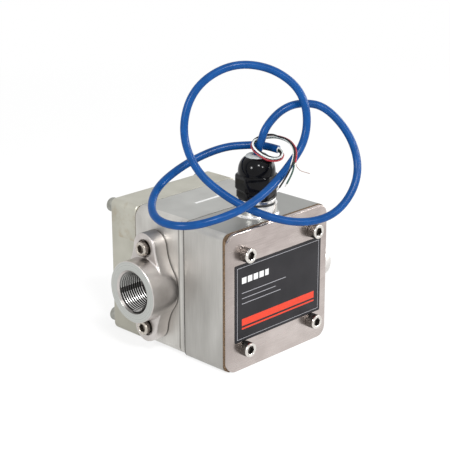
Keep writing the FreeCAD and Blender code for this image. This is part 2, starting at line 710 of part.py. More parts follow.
def oval_rotor(name, side, turn):
    """Make one oval gear: a gently swinging radius with evenly spaced rounded teeth."""
    teeth = int(value_of(d.tooth_count))
    pitch, swing = value_of(d.rotor_pitch), value_of(d.oval_swing)
    height, play = value_of(d.tooth_height), value_of(d.mesh_play)
    depth = value_of(rotor_depth)

    def rim(half_steps):
        """Give the rim's point at a number of half tooth steps round the rotor."""
        angle = math.pi * half_steps / teeth
        radius = pitch + swing * math.cos(2 * angle) + height * math.cos(teeth * angle) - play
        return Vector(radius * math.cos(angle), 0, radius * math.sin(angle))

    arcs = [Part.Arc(rim(step - 0.5), rim(step), rim(step + 0.5)).toShape()
            for step in range(2 * teeth)]
    blank = Part.Face(Part.Wire(arcs)).extrude(Vector(0, depth, 0))
    along = Vector(0, 1, 0)
    bore = Part.makeCylinder(value_of(d.bush_diameter) / 2, depth, Vector(0, 0, 0), along)
    shape = blank.cut(bore)
    for reach in (value_of(d.magnet_reach), -value_of(d.magnet_reach)):
        pocket = Part.makeCylinder(value_of(d.magnet_diameter) / 2, value_of(d.magnet_depth),
                                   Vector(reach, 0, 0), along)
        shape = shape.cut(pocket)
    rotor = doc.addObject("Part::Feature", name)
    rotor.Label = name
    rotor.Shape = shape
    front = value_of(f"{chamber_back} - {d.pocket_depth} + {d.washer_depth} + {d.end_play}")
    height_above = value_of(f"{middle} {side} {d.rotor_pitch}")
    rotor.Placement = FreeCAD.Placement(Vector(0, front, height_above),
                                        FreeCAD.Rotation(along, turn))

    rotor_line = f"{middle} {side} {d.rotor_pitch}"
    rotor_front = f"{chamber_back} - {d.pocket_depth} + {d.washer_depth} + {d.end_play}"
    bush = new_body(name + "_bush", rotor_front, rotor_line)
    ring = new_sketch(bush, "XZ_Plane")
    add_circle(ring, f"{d.bush_diameter} / 2")
    add_circle(ring, f"{d.shaft_diameter} / 2 + {d.bush_play}")
    pad(bush, ring, rotor_depth, True)

    magnets = new_body(name + "_magnets", rotor_front, rotor_line)
    magnets.Placement.Rotation = FreeCAD.Rotation(along, turn)
    discs = new_sketch(magnets, "XZ_Plane")
    add_circles(discs, f"{d.magnet_diameter} / 2",
                [(d.magnet_reach, "0"), (f"-{d.magnet_reach}", "0")])
    pad(magnets, discs, d.magnet_depth, True)


oval_rotor("rotor_upper", "+", 0)
oval_rotor("rotor_lower", "-", 90)

rotor_lines = [("0", d.rotor_pitch), ("0", f"-{d.rotor_pitch}")]
shafts = new_body("rotor_shafts", f"{chamber_back} - {d.pocket_depth} - {d.shaft_seat}")
pins = new_sketch(shafts, "XZ_Plane")
add_circles(pins, f"{d.shaft_diameter} / 2", rotor_lines)
pad(shafts, pins, f"{d.pocket_depth} + 2 * {d.shaft_seat}", True)

thrust = new_body("thrust_washers", f"{chamber_back} - {d.pocket_depth}")
for level in ("0", f"-({d.pocket_depth} - {d.washer_depth})"):
    rings = new_sketch(thrust, "XZ_Plane", level)
    add_circles(rings, f"{d.washer_diameter} / 2", rotor_lines)
    add_circles(rings, f"{d.shaft_diameter} / 2 + {d.bush_play}", rotor_lines)
    pad(thrust, rings, d.washer_depth, True)

# Sensor board on its posts, with the switch, the sensor and the terminals
board = new_body("sensor_board", board_back)
board_outline = new_sketch(board, "XZ_Plane")
add_rectangle(board_outline, d.board_width, d.board_height)
add_circles(board_outline, f"{d.board_screw} / 2 + {d.hole_play}", board_spots)
pad(board, board_outline, d.board_depth)

screw_set("board_screws", board_front, board_spots, d.board_screw, d.board_screw_head,
          d.board_screw_rise, f"{d.board_depth} + {d.board_screw_grip}")


def board_part(name, width, height, depth, x="0", y="0"):
    """Make a plain block that stands on the front of the board."""
    block = new_body(name, board_front)
    outline = new_sketch(block, "XZ_Plane")
    add_rectangle(outline, width, height, x, y)
    pad(block, outline, depth)
    return block


terminals = board_part("terminal_block", d.terminal_width, d.terminal_height, d.terminal_depth,
                       "0", d.terminal_lift)
entries = new_sketch(terminals, "XY_Plane", f"{d.terminal_lift} + {d.terminal_height} / 2")
for slot in range(4):
    add_circle(entries, f"{d.terminal_height} / 6", f"{d.terminal_width} * {(slot - 1.5) / 4}",
               f"-{d.terminal_depth} * 0.4")
cut(terminals, entries, f"{d.terminal_height} / 2")
board_part("reed_switch", d.reed_length, d.reed_height, d.reed_height, "0", f"-{d.rotor_pitch} / 2")
board_part("hall_sensor", d.hall_width, d.hall_width, d.hall_depth, f"{d.magnet_reach}", "0")


def cord(name, points, diameter):
    """Sweep a round cord along straight runs joined by tangent arcs."""
    edges = []
    start = points[0]
    tightest = None
    for before, corner, after in zip(points, points[1:], points[2:]):
        into, out = corner - before, after - corner
        trim = 0.45 * min(into.Length, out.Length)
        turn = into.getAngle(out)
        radius = trim / math.tan(turn / 2)
        into.normalize()
        out.normalize()
        first, last = corner - into * trim, corner + out * trim
        inward = out - into
        inward.normalize()
        centre = corner + inward * (radius / math.cos(turn / 2))
        crown = centre - inward * radius
        edges.append(Part.LineSegment(start, first).toShape())
        edges.append(Part.Arc(first, crown, last).toShape())
        start = last
        tightest = radius if tightest is None else min(tightest, radius)
    edges.append(Part.LineSegment(start, points[-1]).toShape())
    path = Part.Wire(edges)
    heading = points[1] - points[0]
    rim = Part.Wire(Part.Circle(points[0], heading, diameter / 2).toShape())
    solid = path.makePipeShell([rim], True, False)
    piece = doc.addObject("Part::Feature", name)
    piece.Label = name
    piece.Shape = solid
    section = math.pi * diameter ** 2 / 4
    print("%s: length %.1f mm, tightest bend %.1f mm, volume ratio %.4f"
          % (name, path.Length, tightest, solid.Volume / section / path.Length))


def lane(points, side, rise, fan_from, fan):
    """Shift a route sideways by a steady offset that opens out near its end."""
    shifted = []
    heading = points[1] - points[0]
    across = heading.cross(Vector(0, 0, 1))
    for index, point in enumerate(points):
        before = points[max(index - 1, 0)]
        after = points[min(index + 1, len(points) - 1)]
        heading = after - before
        heading.normalize()
        across = across - heading * across.dot(heading)
        across.normalize()
        upright = across.cross(heading)
        spread = 1 + fan * max(0, index - fan_from)
        shifted.append(point + across * (side * spread) + upright * (rise * spread))
    return shifted


gland_y = value_of(gland_line)
insert_level = value_of(f"{nut_foot} + {d.nut_hex_height} + {d.nut_dome_height} - {d.seal_drop}")
# Route of the cable over the gland: across, back from the gland line, up from the seal insert
cable_turns = [
    (0.4, -0.4, 0.0), (0.4, -0.4, 3.6), (2.5, -2.3, 12.5), (3.5, -1.3, 24.0), (17.7, -7.8, 35.9),
    (32.0, -14.2, 43.0),
    (50.7, -29.2, 36.7), (63.9, -47.6, 12.0), (57.5, -58.2, -18.7), (33.3, -57.9, -41.9),
    (3.0, -46.4, -46.6), (-22.1, -27.4, -37.9), (-40.0, -4.8, -23.8), (-51.4, 16.3, -1.7),
    (-53.2, 29.1, 28.1), (-40.9, 27.1, 59.5), (-16.6, 11.4, 75.4), (9.1, -8.8, 69.1),
    (27.6, -25.8, 47.2), (24.9, -30.5, 13.9), (1.4, -29.0, -9.2), (-28.4, -30.3, -21.2),
    (-59.3, -29.5, -30.1), (-87.8, -13.1, -37.4), (-93.6, 20.6, -32.1), (-71.4, 41.7, -17.7),
    (-41.1, 41.4, -4.5), (-13.0, 27.4, 5.2), (6.7, 12.4, 5.2), (15.9, 3.9, 4.8), (16.3, -5.8, 1.6)]
cable_points = [Vector(x, gland_y + y, insert_level + z) for x, y, z in cable_turns]
cord("signal_cable", cable_points, value_of(d.cable_diameter))

# The cores leave the jacket, pass once round the cable and hang down beside the gland
core_turns = [
    (16.3, -5.8, 1.6), (16.46, -9.68, 0.32), (12.2, -12.7, -0.9), (5.8, -13.4, -0.8),
    (0.1, -12.3, 0.6), (-3.9, -9.6, 3.6), (-5.7, -5.6, 6.0), (-5.3, -1.1, 8.2), (-1.9, 2.8, 9.9),
    (3.1, 5.0, 11.2), (8.3, 3.8, 12.6), (12.1, -0.1, 13.4), (14.2, -5.7, 14.4), (13.7, -12.9, 14.9),
    (12.7, -20.5, 14.5), (11.0, -27.2, 12.4), (8.4, -32.5, 9.3), (5.5, -35.9, 5.9),
    (2.8, -38.1, 2.0), (0.9, -38.4, -2.4), (-1.2, -37.9, -7.2), (-3.5, -36.2, -12.6)]
core_points = [Vector(x, gland_y + y, insert_level + z) for x, y, z in core_turns]
lane_step = value_of(d.wire_lane)
# Side and rise of each core in the bundle; the red one is cut off sooner
core_lanes = {"wire_red": (-1, -1), "wire_white": (-1, 1), "wire_black": (1, 1), "wire_green": (1, -1)}
for name, (side, rise) in core_lanes.items():
    route = lane(core_points, side * lane_step, rise * lane_step, 17, 0.3)
    cord(name, route[:-3] if name == "wire_red" else route, value_of(d.wire_diameter))

doc.recompute()
os.makedirs("parts", exist_ok=True)
exported = 0
for item in doc.Objects:
    if item.TypeId not in ("PartDesign::Body", "Part::Feature"):
        continue
    if "Invalid" in item.State or "Error" in item.State or not item.Shape.isValid():
        raise RuntimeError(item.Label + " did not build")
    item.Shape.exportStep(os.path.join("parts", item.Label + ".step"))
    exported += 1
print("exported", exported)
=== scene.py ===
# %% [markdown]
# # An oval gear flow meter, dressed for its portrait
# The meter is a stack of square metal blocks: a label plate on a cork gasket, a sensor housing, a
# measuring chamber with a port flange on each side, and a cast rear cover. A black cable gland stands on
# top, and a blue cable loops round it and ends in four bare cores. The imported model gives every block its
# place, so this script only adds what solids leave out: screws with sockets, threads, cast skin and
# finishes. A size that several pieces share is named where it first comes up, in millimetres.

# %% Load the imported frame
import math

import bmesh
import bpy
import numpy
from mathutils import Matrix, Vector, noise


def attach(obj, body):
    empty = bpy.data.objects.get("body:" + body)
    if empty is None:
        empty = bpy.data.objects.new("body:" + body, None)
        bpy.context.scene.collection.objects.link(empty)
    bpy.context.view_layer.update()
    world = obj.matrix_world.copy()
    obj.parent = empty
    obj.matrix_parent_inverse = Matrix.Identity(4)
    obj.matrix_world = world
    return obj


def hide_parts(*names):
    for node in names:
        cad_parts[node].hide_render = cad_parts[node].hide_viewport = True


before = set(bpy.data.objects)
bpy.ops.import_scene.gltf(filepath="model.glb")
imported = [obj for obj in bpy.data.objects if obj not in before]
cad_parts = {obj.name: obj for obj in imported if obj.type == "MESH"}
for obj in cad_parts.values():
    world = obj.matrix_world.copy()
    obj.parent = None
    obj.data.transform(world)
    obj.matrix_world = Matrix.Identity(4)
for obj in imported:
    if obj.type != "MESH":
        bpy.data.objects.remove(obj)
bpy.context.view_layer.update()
scene = bpy.context.scene
print("nodes in the frame:", len(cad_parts))

# %% [markdown]
# ## Camera
# The photograph was taken from the meter's left front corner with a long lens, so its upright edges stay
# almost parallel. The camera's place was worked out from the block's corners. A matrix built from three
# directions, right, up and back, sets it in one go and leaves no guessing with angles.


# %% Aim the camera
def mm(*sizes):
    """Turn millimetres into Blender's metres."""
    return Vector(size / 1000 for size in sizes)


def put(name, data):
    """Stand data in the scene as a new object."""
    made = bpy.data.objects.new(name, data)
    scene.collection.objects.link(made)
    return made


turn, rise, roll = (math.radians(angle) for angle in (45.1465, 18.9955, -0.1422))
back = Vector((-math.sin(turn) * math.cos(rise), -math.cos(turn) * math.cos(rise), math.sin(rise)))
level = Vector((math.cos(turn), -math.sin(turn), 0))
upright = back.cross(level)
right = level * math.cos(roll) + upright * math.sin(roll)
above = upright * math.cos(roll) - level * math.sin(roll)
camera = put("camera", bpy.data.cameras.new("camera"))
camera.data.lens, camera.data.sensor_width = 109.22, 36
camera.data.clip_start, camera.data.clip_end = 0.05, 50
camera.matrix_world = (Matrix.Translation(mm(-742.709, -755.824, 456.130))
                       @ Matrix((right, above, back)).transposed().to_4x4())
scene.camera = camera
print("camera stands at", [round(x, 3) for x in camera.matrix_world.translation])

# %% [markdown]
# ## Shader sums as Python
# A finish is a small tree of nodes. Wiring each Math node by hand hides the idea, so one class wraps a
# socket and lets it be added, multiplied and compared, and a second class adds any other node. A third
# holds one material. A line such as `0.3 + 0.2 * clouds` then reads as what it does.


# %% Sockets that add up
class Sum:
    """A socket that can stand in Python expressions."""

    def __init__(self, finish, socket):
        self.finish, self.socket = finish, socket

    def math(self, operation, first, second=0.0):
        return self.finish.node("ShaderNodeMath", {"operation": operation}, {0: first, 1: second})

    def __add__(self, other):
        return self.math("ADD", self, other)

    __radd__ = __add__

    def __sub__(self, other):
        return self.math("SUBTRACT", self, other)

    def __rsub__(self, other):
        return self.math("SUBTRACT", other, self)

    def __mul__(self, other):
        return self.math("MULTIPLY", self, other)

    __rmul__ = __mul__

    def __truediv__(self, other):
        return self.math("DIVIDE", self, other)

    def __pow__(self, other):
        return self.math("POWER", self, other)

    def __abs__(self):
        return self.math("ABSOLUTE", self)

    def __lt__(self, other):
        return self.math("LESS_THAN", self, other)

    def __gt__(self, other):
        return self.math("GREATER_THAN", self, other)


class Shading:
    """The nodes of a material or of the world."""

    def __init__(self, owner):
        owner.use_nodes = True
        self.tree = owner.node_tree
        self.tree.nodes.clear()

    def node(self, kind, settings, sockets, out=0):
        """Add a node: settings first, then the values or links of its sockets."""
        made = self.tree.nodes.new(kind)
        for key, value in settings.items():
            setattr(made, key, value)
        self.feed(made, sockets)
        return Sum(self, made.outputs[out])

    def feed(self, made, sockets):
        """Link or set a node's sockets."""
        for key, value in sockets.items():
            if isinstance(value, Sum):
                self.tree.links.new(value.socket, made.inputs[key])
            else:
                made.inputs[key].default_value = value

    def close(self, kind, surface):
        """Add the output node that shows a shader."""
        self.feed(self.tree.nodes.new(kind), {"Surface": surface})


class Finish(Shading):
    """One material: a Principled shader and the nodes that feed it."""

    def __init__(self, name):
        self.material = bpy.data.materials.new(name)
        super().__init__(self.material)
        self.shader = self.tree.nodes.new("ShaderNodeBsdfPrincipled")
        self.close("ShaderNodeOutputMaterial", Sum(self, self.shader.outputs[0]))
        self.place = self.node("ShaderNodeTexCoord", {}, {}, "Object")

    def axes(self):
        """Give the piece's own x, y and z in millimetres."""
        split = self.node("ShaderNodeSeparateXYZ", {}, {0: self.place}).socket.node
        return [1000 * Sum(self, output) for output in split.outputs]

    def clouds(self, size, stretch=(1, 1, 1), detail=2.0, rough=0.5, offset=(0, 0, 0)):
        """Give soft noise whose blots are about so many millimetres, longer where stretched."""
        scale = [1000 / size / part for part in stretch]
        where = self.node("ShaderNodeMapping", {},
                          {"Vector": self.place, "Scale": scale, "Location": offset})
        return self.node("ShaderNodeTexNoise", {},
                         {"Vector": where, "Scale": 1.0, "Detail": detail, "Roughness": rough})

    def ramp(self, value, *stops):
        """Turn a number into a colour or a grey between two stops."""
        made = self.node("ShaderNodeValToRGB", {}, {0: value})
        for element, (position, shade) in zip(made.socket.node.color_ramp.elements, stops):
            element.position = position
            element.color = (*shade, 1) if isinstance(shade, tuple) else (shade, shade, shade, 1)
        return made

    def mix(self, factor, first, second):
        """Blend two colours."""
        first, second = [(*c, 1) if isinstance(c, tuple) else c for c in (first, second)]
        return self.node("ShaderNodeMix", {"data_type": "RGBA"}, {0: factor, 6: first, 7: second}, 2)

    def bump(self, height, depth, strength=1.0):
        """Turn a height into a normal; depth is in millimetres."""
        return self.node("ShaderNodeBump", {}, {"Height": height, "Distance": depth / 1000,
                                                "Strength": strength})

    def shade(self, **sockets):
        """Set the Principled shader: base_color, roughness and so on."""
        for key, value in sockets.items():
            self.feed(self.shader, {key.replace("_", " ").title().replace("Ior", "IOR"): value})
        return self.material


def solid_noise(name, dark, pale, size, roughness, metallic=0.0, stretch=(1, 1, 1), depth=0.0, spread=0.08,
                **more):
    """Make a two-tone finish with noise in its colour, gloss and skin."""
    finish = Finish(name)
    cloud = finish.clouds(size, stretch, 3.0)
    sockets = {"base_color": finish.ramp(cloud, (0.3, dark), (0.7, pale)),
               "roughness": roughness - spread + 2 * spread * cloud, "metallic": metallic, **more}
    if depth:
        sockets["normal"] = finish.bump(finish.clouds(size * 0.4, stretch, 3.0), depth)
    return finish.shade(**sockets)


print("shader helpers are ready")

# %% [markdown]
# ## Floor and light
# The meter stands on white paper in a white room, and a few small lamps add the bright spots on metal and
# plastic. The floor mixes white light of its own for rays from the camera with plain matt paper, which
# keeps a soft shadow near the meter and fades to white further out. The room does the same, so metal
# mirrors a white room while the light on matt faces stays at a plain level.

# %% White paper
WHITE = (1, 1, 1, 1)


def white_for_the_eye(shading, plain, white, share=None):
    """Mix two shaders so that camera, mirror and glass rays see the white one by a share."""
    seen = shading.node("ShaderNodeLightPath", {}, {}, "Is Camera Ray")
    rays = seen.socket.node.outputs
    for name in ("Is Glossy Ray", "Is Transmission Ray"):
        seen = seen.math("MAXIMUM", seen, Sum(shading, rays[name]))
    if share:
        seen = seen * share
    return shading.node("ShaderNodeMixShader", {}, {0: seen, 1: plain, 2: white})


paper = bpy.data.materials.new("white_paper")
sheet = Shading(paper)
matt = sheet.node("ShaderNodeBsdfDiffuse", {}, {"Color": (0.97, 0.97, 0.97, 1)})
glow = sheet.node("ShaderNodeEmission", {}, {"Color": WHITE})
where = sheet.node("ShaderNodeTexCoord", {}, {}, "Object")
away = sheet.node("ShaderNodeVectorMath", {"operation": "LENGTH"}, {0: where}, "Value")
fade = sheet.node("ShaderNodeMapRange", {}, {
    "Value": away, "From Min": 0.2, "From Max": 1.1, "To Min": 0.75, "To Max": 1.0})
sheet.close("ShaderNodeOutputMaterial", white_for_the_eye(sheet, matt, glow, fade))
floor_mesh = bpy.data.meshes.new("floor")
floor_mesh.from_pydata([(-4, -4, 0), (4, -4, 0), (4, 4, 0), (-4, 4, 0)], [], [(0, 1, 2, 3)])
floor_mesh.materials.append(paper)
put("floor", floor_mesh)
print("paper nodes:", len(sheet.tree.nodes))

# %% White room and lamps
scene.world = bpy.data.worlds.new("white_room")
air = Shading(scene.world)
dim, bright = (air.node("ShaderNodeBackground", {}, {"Color": WHITE, "Strength": strength})
               for strength in (0.64, 1.0))
air.close("ShaderNodeOutputWorld", white_for_the_eye(air, dim, bright))
lamp_aim = Vector((0, 0, 0.08))
for name, place, width, height, watts in (
        ("key_lamp", (-0.5, -0.9, 1.1), 0.23, 0.2, 9), ("left_lamp", (-1.1, -0.2, 0.7), 0.2, 0.23, 6),
        ("front_lamp", (0.7, -1.0, 0.5), 0.2, 0.23, 6), ("rim_lamp", (-0.1, -1.2, 0.8), 0.18, 0.18, 3),
        ("edge_lamp", (1.1, -0.2, 0.45), 0.8, 0.7, 5)):
    lamp = bpy.data.lights.new(name, "AREA")
    lamp.shape, lamp.size, lamp.size_y, lamp.energy = "RECTANGLE", width, height, watts
    holder = put(name, lamp)
    holder.location = place
    holder.rotation_euler = (lamp_aim - Vector(place)).to_track_quat("-Z", "Y").to_euler()
scene.view_settings.view_transform = "Standard"

# %% [markdown]
# ## The cable and its cores
# A stiff six millimetre cable rises from the gland, makes a loop to the right, a big one over the top and a
# wide one to the left, and ends beside the gland with its jacket stripped. A NURBS curve with a round bevel
# is the simplest cord: its control points are the route's corners, and the curve stays smooth between them.
# The four cores share one route, each shifted to its own place in the bundle. That place is an angle from
# the top and a distance, which change at a few stations along the route, so the white core crosses over the
# black one as loose wires do.

# %% Routes of the cords
cable_turns = [
    (0.4, -0.4, 0.0), (0.4, -0.4, 3.6), (2.2, -2.4, 11.6), (5.3, -3.8, 22.5), (17.7, -8.2, 35.1),
    (31.9, -15.5, 40.0), (49.2, -28.0, 36.0), (61.6, -46.1, 10.3), (57.0, -57.3, -17.9),
    (33.1, -57.4, -41.3), (4.3, -47.3, -45.9), (-21.3, -28.2, -37.9), (-39.3, -5.5, -23.8),
    (-52.2, 16.3, -3.3), (-53.7, 28.7, 26.3), (-41.8, 27.0, 57.5), (-16.2, 12.1, 74.5), (10.1, -8.0, 69.7),
    (27.6, -24.9, 48.9), (25.5, -30.3, 15.5), (1.6, -28.3, -7.4), (-27.6, -30.9, -20.8),
    (-59.4, -28.7, -28.6), (-88.5, -9.7, -35.8), (-93.0, 21.4, -34.3), (-72.3, 41.1, -20.7),
    (-41.1, 40.3, -6.7), (-12.9, 27.0, 4.5), (6.6, 12.5, 5.4), (15.8, 3.8, 4.3), (17.6, -6.4, 3.0)]
core_turns = [
    (17.6, -6.4, 3.0), (18.3, -10.4, 1.6), (13.2, -13.7, -1.4), (6.0, -14.4, -1.0), (0.0, -13.0, 0.9),
    (-4.0, -9.8, 3.9), (-5.8, -5.6, 6.2), (-5.4, -1.1, 8.2), (-1.9, 2.9, 9.9), (3.1, 5.0, 11.2),
    (8.3, 3.8, 12.6), (12.1, -0.1, 13.4), (14.2, -5.7, 14.4), (13.7, -12.9, 14.9), (12.7, -20.5, 14.5),
    (11.0, -27.2, 12.4), (8.3, -32.4, 9.3), (5.0, -35.4, 5.9), (1.8, -37.1, 2.0), (-0.4, -37.2, -2.4),
    (-2.9, -36.2, -7.4), (-5.7, -34.3, -12.8), (-8.6, -32.4, -17.2)]
strand_turns = [(2.0, -40.2, -1.2), (4.2, -42.2, -4.4), (7.6, -45.0, -5.6), (9.6, -46.8, -6.6)]
core_lay = {
    "wire_red": (19, [(0, 250, 1.1), (2, 240, 1.6), (4, 195, 2.1), (5, 185, 2.0), (7, 215, 1.4),
                      (8, 235, 1.1), (10, 270, 1.1)]),
    "wire_white": (22, [(0, 340, 1.1), (2, 330, 1.1), (4, 275, 1.1), (5, 270, 1.1), (7, 335, 2.8),
                        (8, 385, 2.8), (10, 450, 1.1)]),
    "wire_black": (23, [(0, 70, 1.1), (2, 60, 1.1), (4, 5, 1.1), (5, 0, 1.1), (10, 0, 1.1), (13, 70, 3.1),
                        (17, 0, 1.1), (22, 0, 0.2)]),
    "wire_green": (22, [(0, 160, 1.1), (2, 150, 1.1), (4, 95, 1.1), (5, 90, 1.1), (7, 125, 1.1),
                        (8, 145, 1.1), (10, 180, 1.1)])}
print("route points:", len(cable_turns), "for the cable,", len(core_turns), "for the cores")

# %% Lines along the routes
GLAND_DEPTH, GLAND_TOP = -52.0, 160.8


def from_gland(turns):
    """Place route points that are measured from the top of the gland."""
    return [mm(x, GLAND_DEPTH + y, GLAND_TOP + z) for x, y, z in turns]


def lane(points, stations, fan_from=17, fan=0.3):
    """Shift a route to a core's place in the bundle, which opens at its end."""
    marks, angles, aways = zip(*stations)
    shifted = []
    for index, point in enumerate(points):
        heading = (points[min(index + 1, len(points) - 1)] - points[max(index - 1, 0)]).normalized()
        top = (Vector((0, 0, 1)) - heading * heading.z).normalized()
        angle = math.radians(numpy.interp(index, marks, angles))
        away = numpy.interp(index, marks, aways) / 1000 * (1 + fan * max(0, index - fan_from))
        shifted.append(point + (top * math.cos(angle) + heading.cross(top) * math.sin(angle)) * away)
    return shifted


def cord_curve(name, points, diameter, material):
    """Draw one open NURBS line with a round section."""
    curve = bpy.data.curves.new(name, "CURVE")
    curve.dimensions = "3D"
    line = curve.splines.new("NURBS")
    line.points.add(len(points) - 1)
    for spot, point in zip(line.points, points):
        spot.co = (*point, 1)
    line.order_u, line.use_endpoint_u, line.resolution_u = 3, True, 10
    curve.bevel_depth, curve.bevel_resolution, curve.use_fill_caps = diameter / 2, 5, True
    curve.materials.append(material)
    return put(name, curve)


def plain_mesh(made):
    """Swap an object for the mesh that its modifiers leave."""
    bpy.context.view_layer.update()
    mesh = bpy.data.meshes.new_from_object(made.evaluated_get(bpy.context.evaluated_depsgraph_get()))
    bpy.data.objects.remove(made)
    return mesh


def line_length(points):
    """Measure the smooth line through a route."""
    line = plain_mesh(cord_curve("guide", points, 0.0, None))
    spots = [vertex.co.copy() for vertex in line.vertices]
    return sum((b - a).length for a, b in zip(spots, spots[1:]))


# %% [markdown]
# ## Finishes of the cords
# The jacket is satin blue plastic with a soft sheen. The cores have the same plastic in red, white, black
# and green, glossier and thinner. A weak noise along the cord keeps them from looking like plain paint.

# %% Cord materials
jacket = Finish("cable_jacket")
mottle = jacket.clouds(9, detail=3.0)
jacket_blue = jacket.shade(
    base_color=jacket.ramp(mottle, (0.25, (0.0015, 0.04, 0.155)), (0.75, (0.004, 0.058, 0.215))),
    roughness=0.2 + 0.1 * jacket.clouds(6), specular_ior_level=0.16,
    normal=jacket.bump(jacket.clouds(2.4), 0.015, 0.4))
core_finish = {
    "wire_red": solid_noise("core_red", (0.25, 0.012, 0.022), (0.36, 0.022, 0.036), 3, 0.32),
    "wire_white": solid_noise("core_white", (0.5, 0.53, 0.51), (0.68, 0.7, 0.68), 3, 0.34),
    "wire_black": solid_noise("core_black", (0.003, 0.003, 0.0035), (0.008, 0.008, 0.009), 3, 0.3,
                              specular_ior_level=0.25),
    "wire_green": solid_noise("core_green", (0.01, 0.04, 0.028), (0.022, 0.07, 0.05), 3, 0.32)}
tinned = solid_noise("tinned_copper", (0.5, 0.46, 0.42), (0.72, 0.69, 0.65), 0.8, 0.34, 1.0)
strand_copper = solid_noise("strand_copper", (0.2, 0.12, 0.095), (0.34, 0.22, 0.18), 0.8, 0.4, 0.6)
print("cord finishes:", len(core_finish) + 3)


# %% Lay the cable and the cores
def join(piece, slot, *nodes):
    """Let a piece ride on the meter, in place of CAD nodes. The slot is not used."""
    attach(piece, "meter_body")
    if nodes:
        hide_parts(*nodes)
    return piece


cable_width, core_width, strand_width = 0.0063, 0.0014, 0.0005
cable_points, core_points = from_gland(cable_turns), from_gland(core_turns)
cable = cord_curve("signal_cable_jacket", cable_points, cable_width, jacket_blue)
join(cable, "cable_blue", "signal_cable")
cores, routes = {}, {}
for name, (kept, stations) in core_lay.items():
    routes[name] = lane(core_points, stations)[:kept]
    cores[name] = cord_curve(name + "_core", routes[name], core_width, core_finish[name])
    join(cores[name], name, name)
routes["bare_strand"] = routes["wire_red"][12:] + from_gland(strand_turns)
cores["bare_strand"] = cord_curve("bare_strand", routes["bare_strand"], strand_width, strand_copper)
join(cores["bare_strand"], "wire_white")
lengths = {name: line_length(points) for name, points in {"cable": cable_points, **routes}.items()}
print("cord lengths, mm:", {name: round(1000 * size, 1) for name, size in lengths.items()})

# %% [markdown]
# ## Rings and slabs
# Most hardware here is turned, sawn or pressed, so its skin is a stack of rings: circles for turned parts,
# rounded rectangles for plates, hexagons for nuts. Writing the rings out gives exact sizes and clean quads,
# where a cylinder with many modifiers would need each edge picked and bevelled again.


# %% Skins from rings
def tidy(mesh, angle=32):
    """Point the faces outwards and keep only sharp corners sharp."""
    shell = bmesh.new()
    shell.from_mesh(mesh)
    bmesh.ops.recalc_face_normals(shell, faces=shell.faces)
    shell.to_mesh(mesh)
    shell.free()
    mesh.shade_smooth()
    mesh.set_sharp_from_angle(angle=math.radians(angle))
    return mesh


def ring_mesh(rings, closed=False):
    """Join rings of points into a skin that is capped at its ends, or closed on itself."""
    count, rows = len(rings[0]), len(rings)
    joins = [(row, row + 1) for row in range(rows - 1)] + ([(rows - 1, 0)] if closed else [])
    sides = [(i, (i + 1) % count) for i in range(count)]
    faces = [(low * count + i, low * count + j, high * count + j, high * count + i)
             for low, high in joins for i, j in sides]
    if not closed:
        faces += [tuple(range(count))[::-1], tuple(range((rows - 1) * count, rows * count))]
    mesh = bpy.data.meshes.new("rings")
    mesh.from_pydata([point for ring in rings for point in ring], [], faces)
    return tidy(mesh)


def circle(radius, height, sides):
    """Give a ring round the z axis; radius may be a function of the angle."""
    ring = []
    for step in range(sides):
        angle = 2 * math.pi * step / sides
        size = radius(angle) if callable(radius) else radius
        ring.append(mm(size * math.cos(angle), size * math.sin(angle), height))
    return ring


def hexagon(flats, limit, turned=0.0):
    """Give a hexagon's radius at any angle, its corners cut back to a limit."""
    def radius(angle):
        return min(limit, flats / 2 / math.cos((angle - turned) % (math.pi / 3) - math.pi / 6))
    return radius


def round_square(width, height, corner, edge_steps, corner_steps=10):
    """Walk round a rectangle with rounded corners as pairs across and up."""
    spots = []
    for quarter, (side, top) in enumerate(((1, 1), (-1, 1), (-1, -1), (1, -1))):
        start = (side * (width / 2 - corner), top * (height / 2 - corner))
        for step in range(corner_steps + 1):
            angle = math.pi / 2 * (quarter + step / corner_steps)
            spots.append((start[0] + corner * math.cos(angle), start[1] + corner * math.sin(angle)))
        run = (height if quarter % 2 else width) - 2 * corner
        (x, z), (ahead_x, ahead_z) = spots[-1], ((-1, 0), (0, -1), (1, 0), (0, 1))[quarter]
        spots += [(x + ahead_x * run * step / edge_steps, z + ahead_z * run * step / edge_steps)
                  for step in range(1, edge_steps)]
    return spots


def add_piece(name, mesh, slot, *nodes, material=None):
    """Put a mesh in the scene, riding on the meter and standing for CAD nodes."""
    mesh.name = name
    if material:
        mesh.materials.clear()
        mesh.materials.append(material)
    print(name, "has", len(mesh.polygons), "faces")
    return join(put(name, mesh), slot, *nodes)


# %% [markdown]
# ## Bare ends
# Each core ends in a short tip of tinned strands, and a plug of pale filler closes the cut jacket. Both are
# small stacks of rings turned along the cord's last run, and each belongs to its cord, so it is named
# with it.


# %% Tips and filler
def at_end(name, before, last, profile, material):
    """Set rings on a cord's end, along its last run."""
    mesh = ring_mesh([circle(radius, height, 24) for radius, height in profile])
    mesh.transform(Matrix.Translation(last) @ (last - before).to_track_quat("Z", "Y").to_matrix().to_4x4())
    return add_piece(name, mesh, "wire_white", material=material)


filler_profile = [(2.3, -1.0), (2.3, 0.1), (1.9, 0.45), (0.6, 0.7)]
tip_profile = [(0.4, -1.0), (0.42, 0.4), (0.4, 2.2), (0.2, 2.6)]
filler_white = solid_noise("filler_white", (0.5, 0.5, 0.48), (0.72, 0.72, 0.7), 0.7, 0.7, depth=0.1)
filler = at_end("jacket_filler", *cable_points[-2:], filler_profile, filler_white)
for name, piece in cores.items():
    points = routes[name]
    tips = [] if name == "bare_strand" else [at_end(name + "_tip", *points[-2:], tip_profile, tinned)]
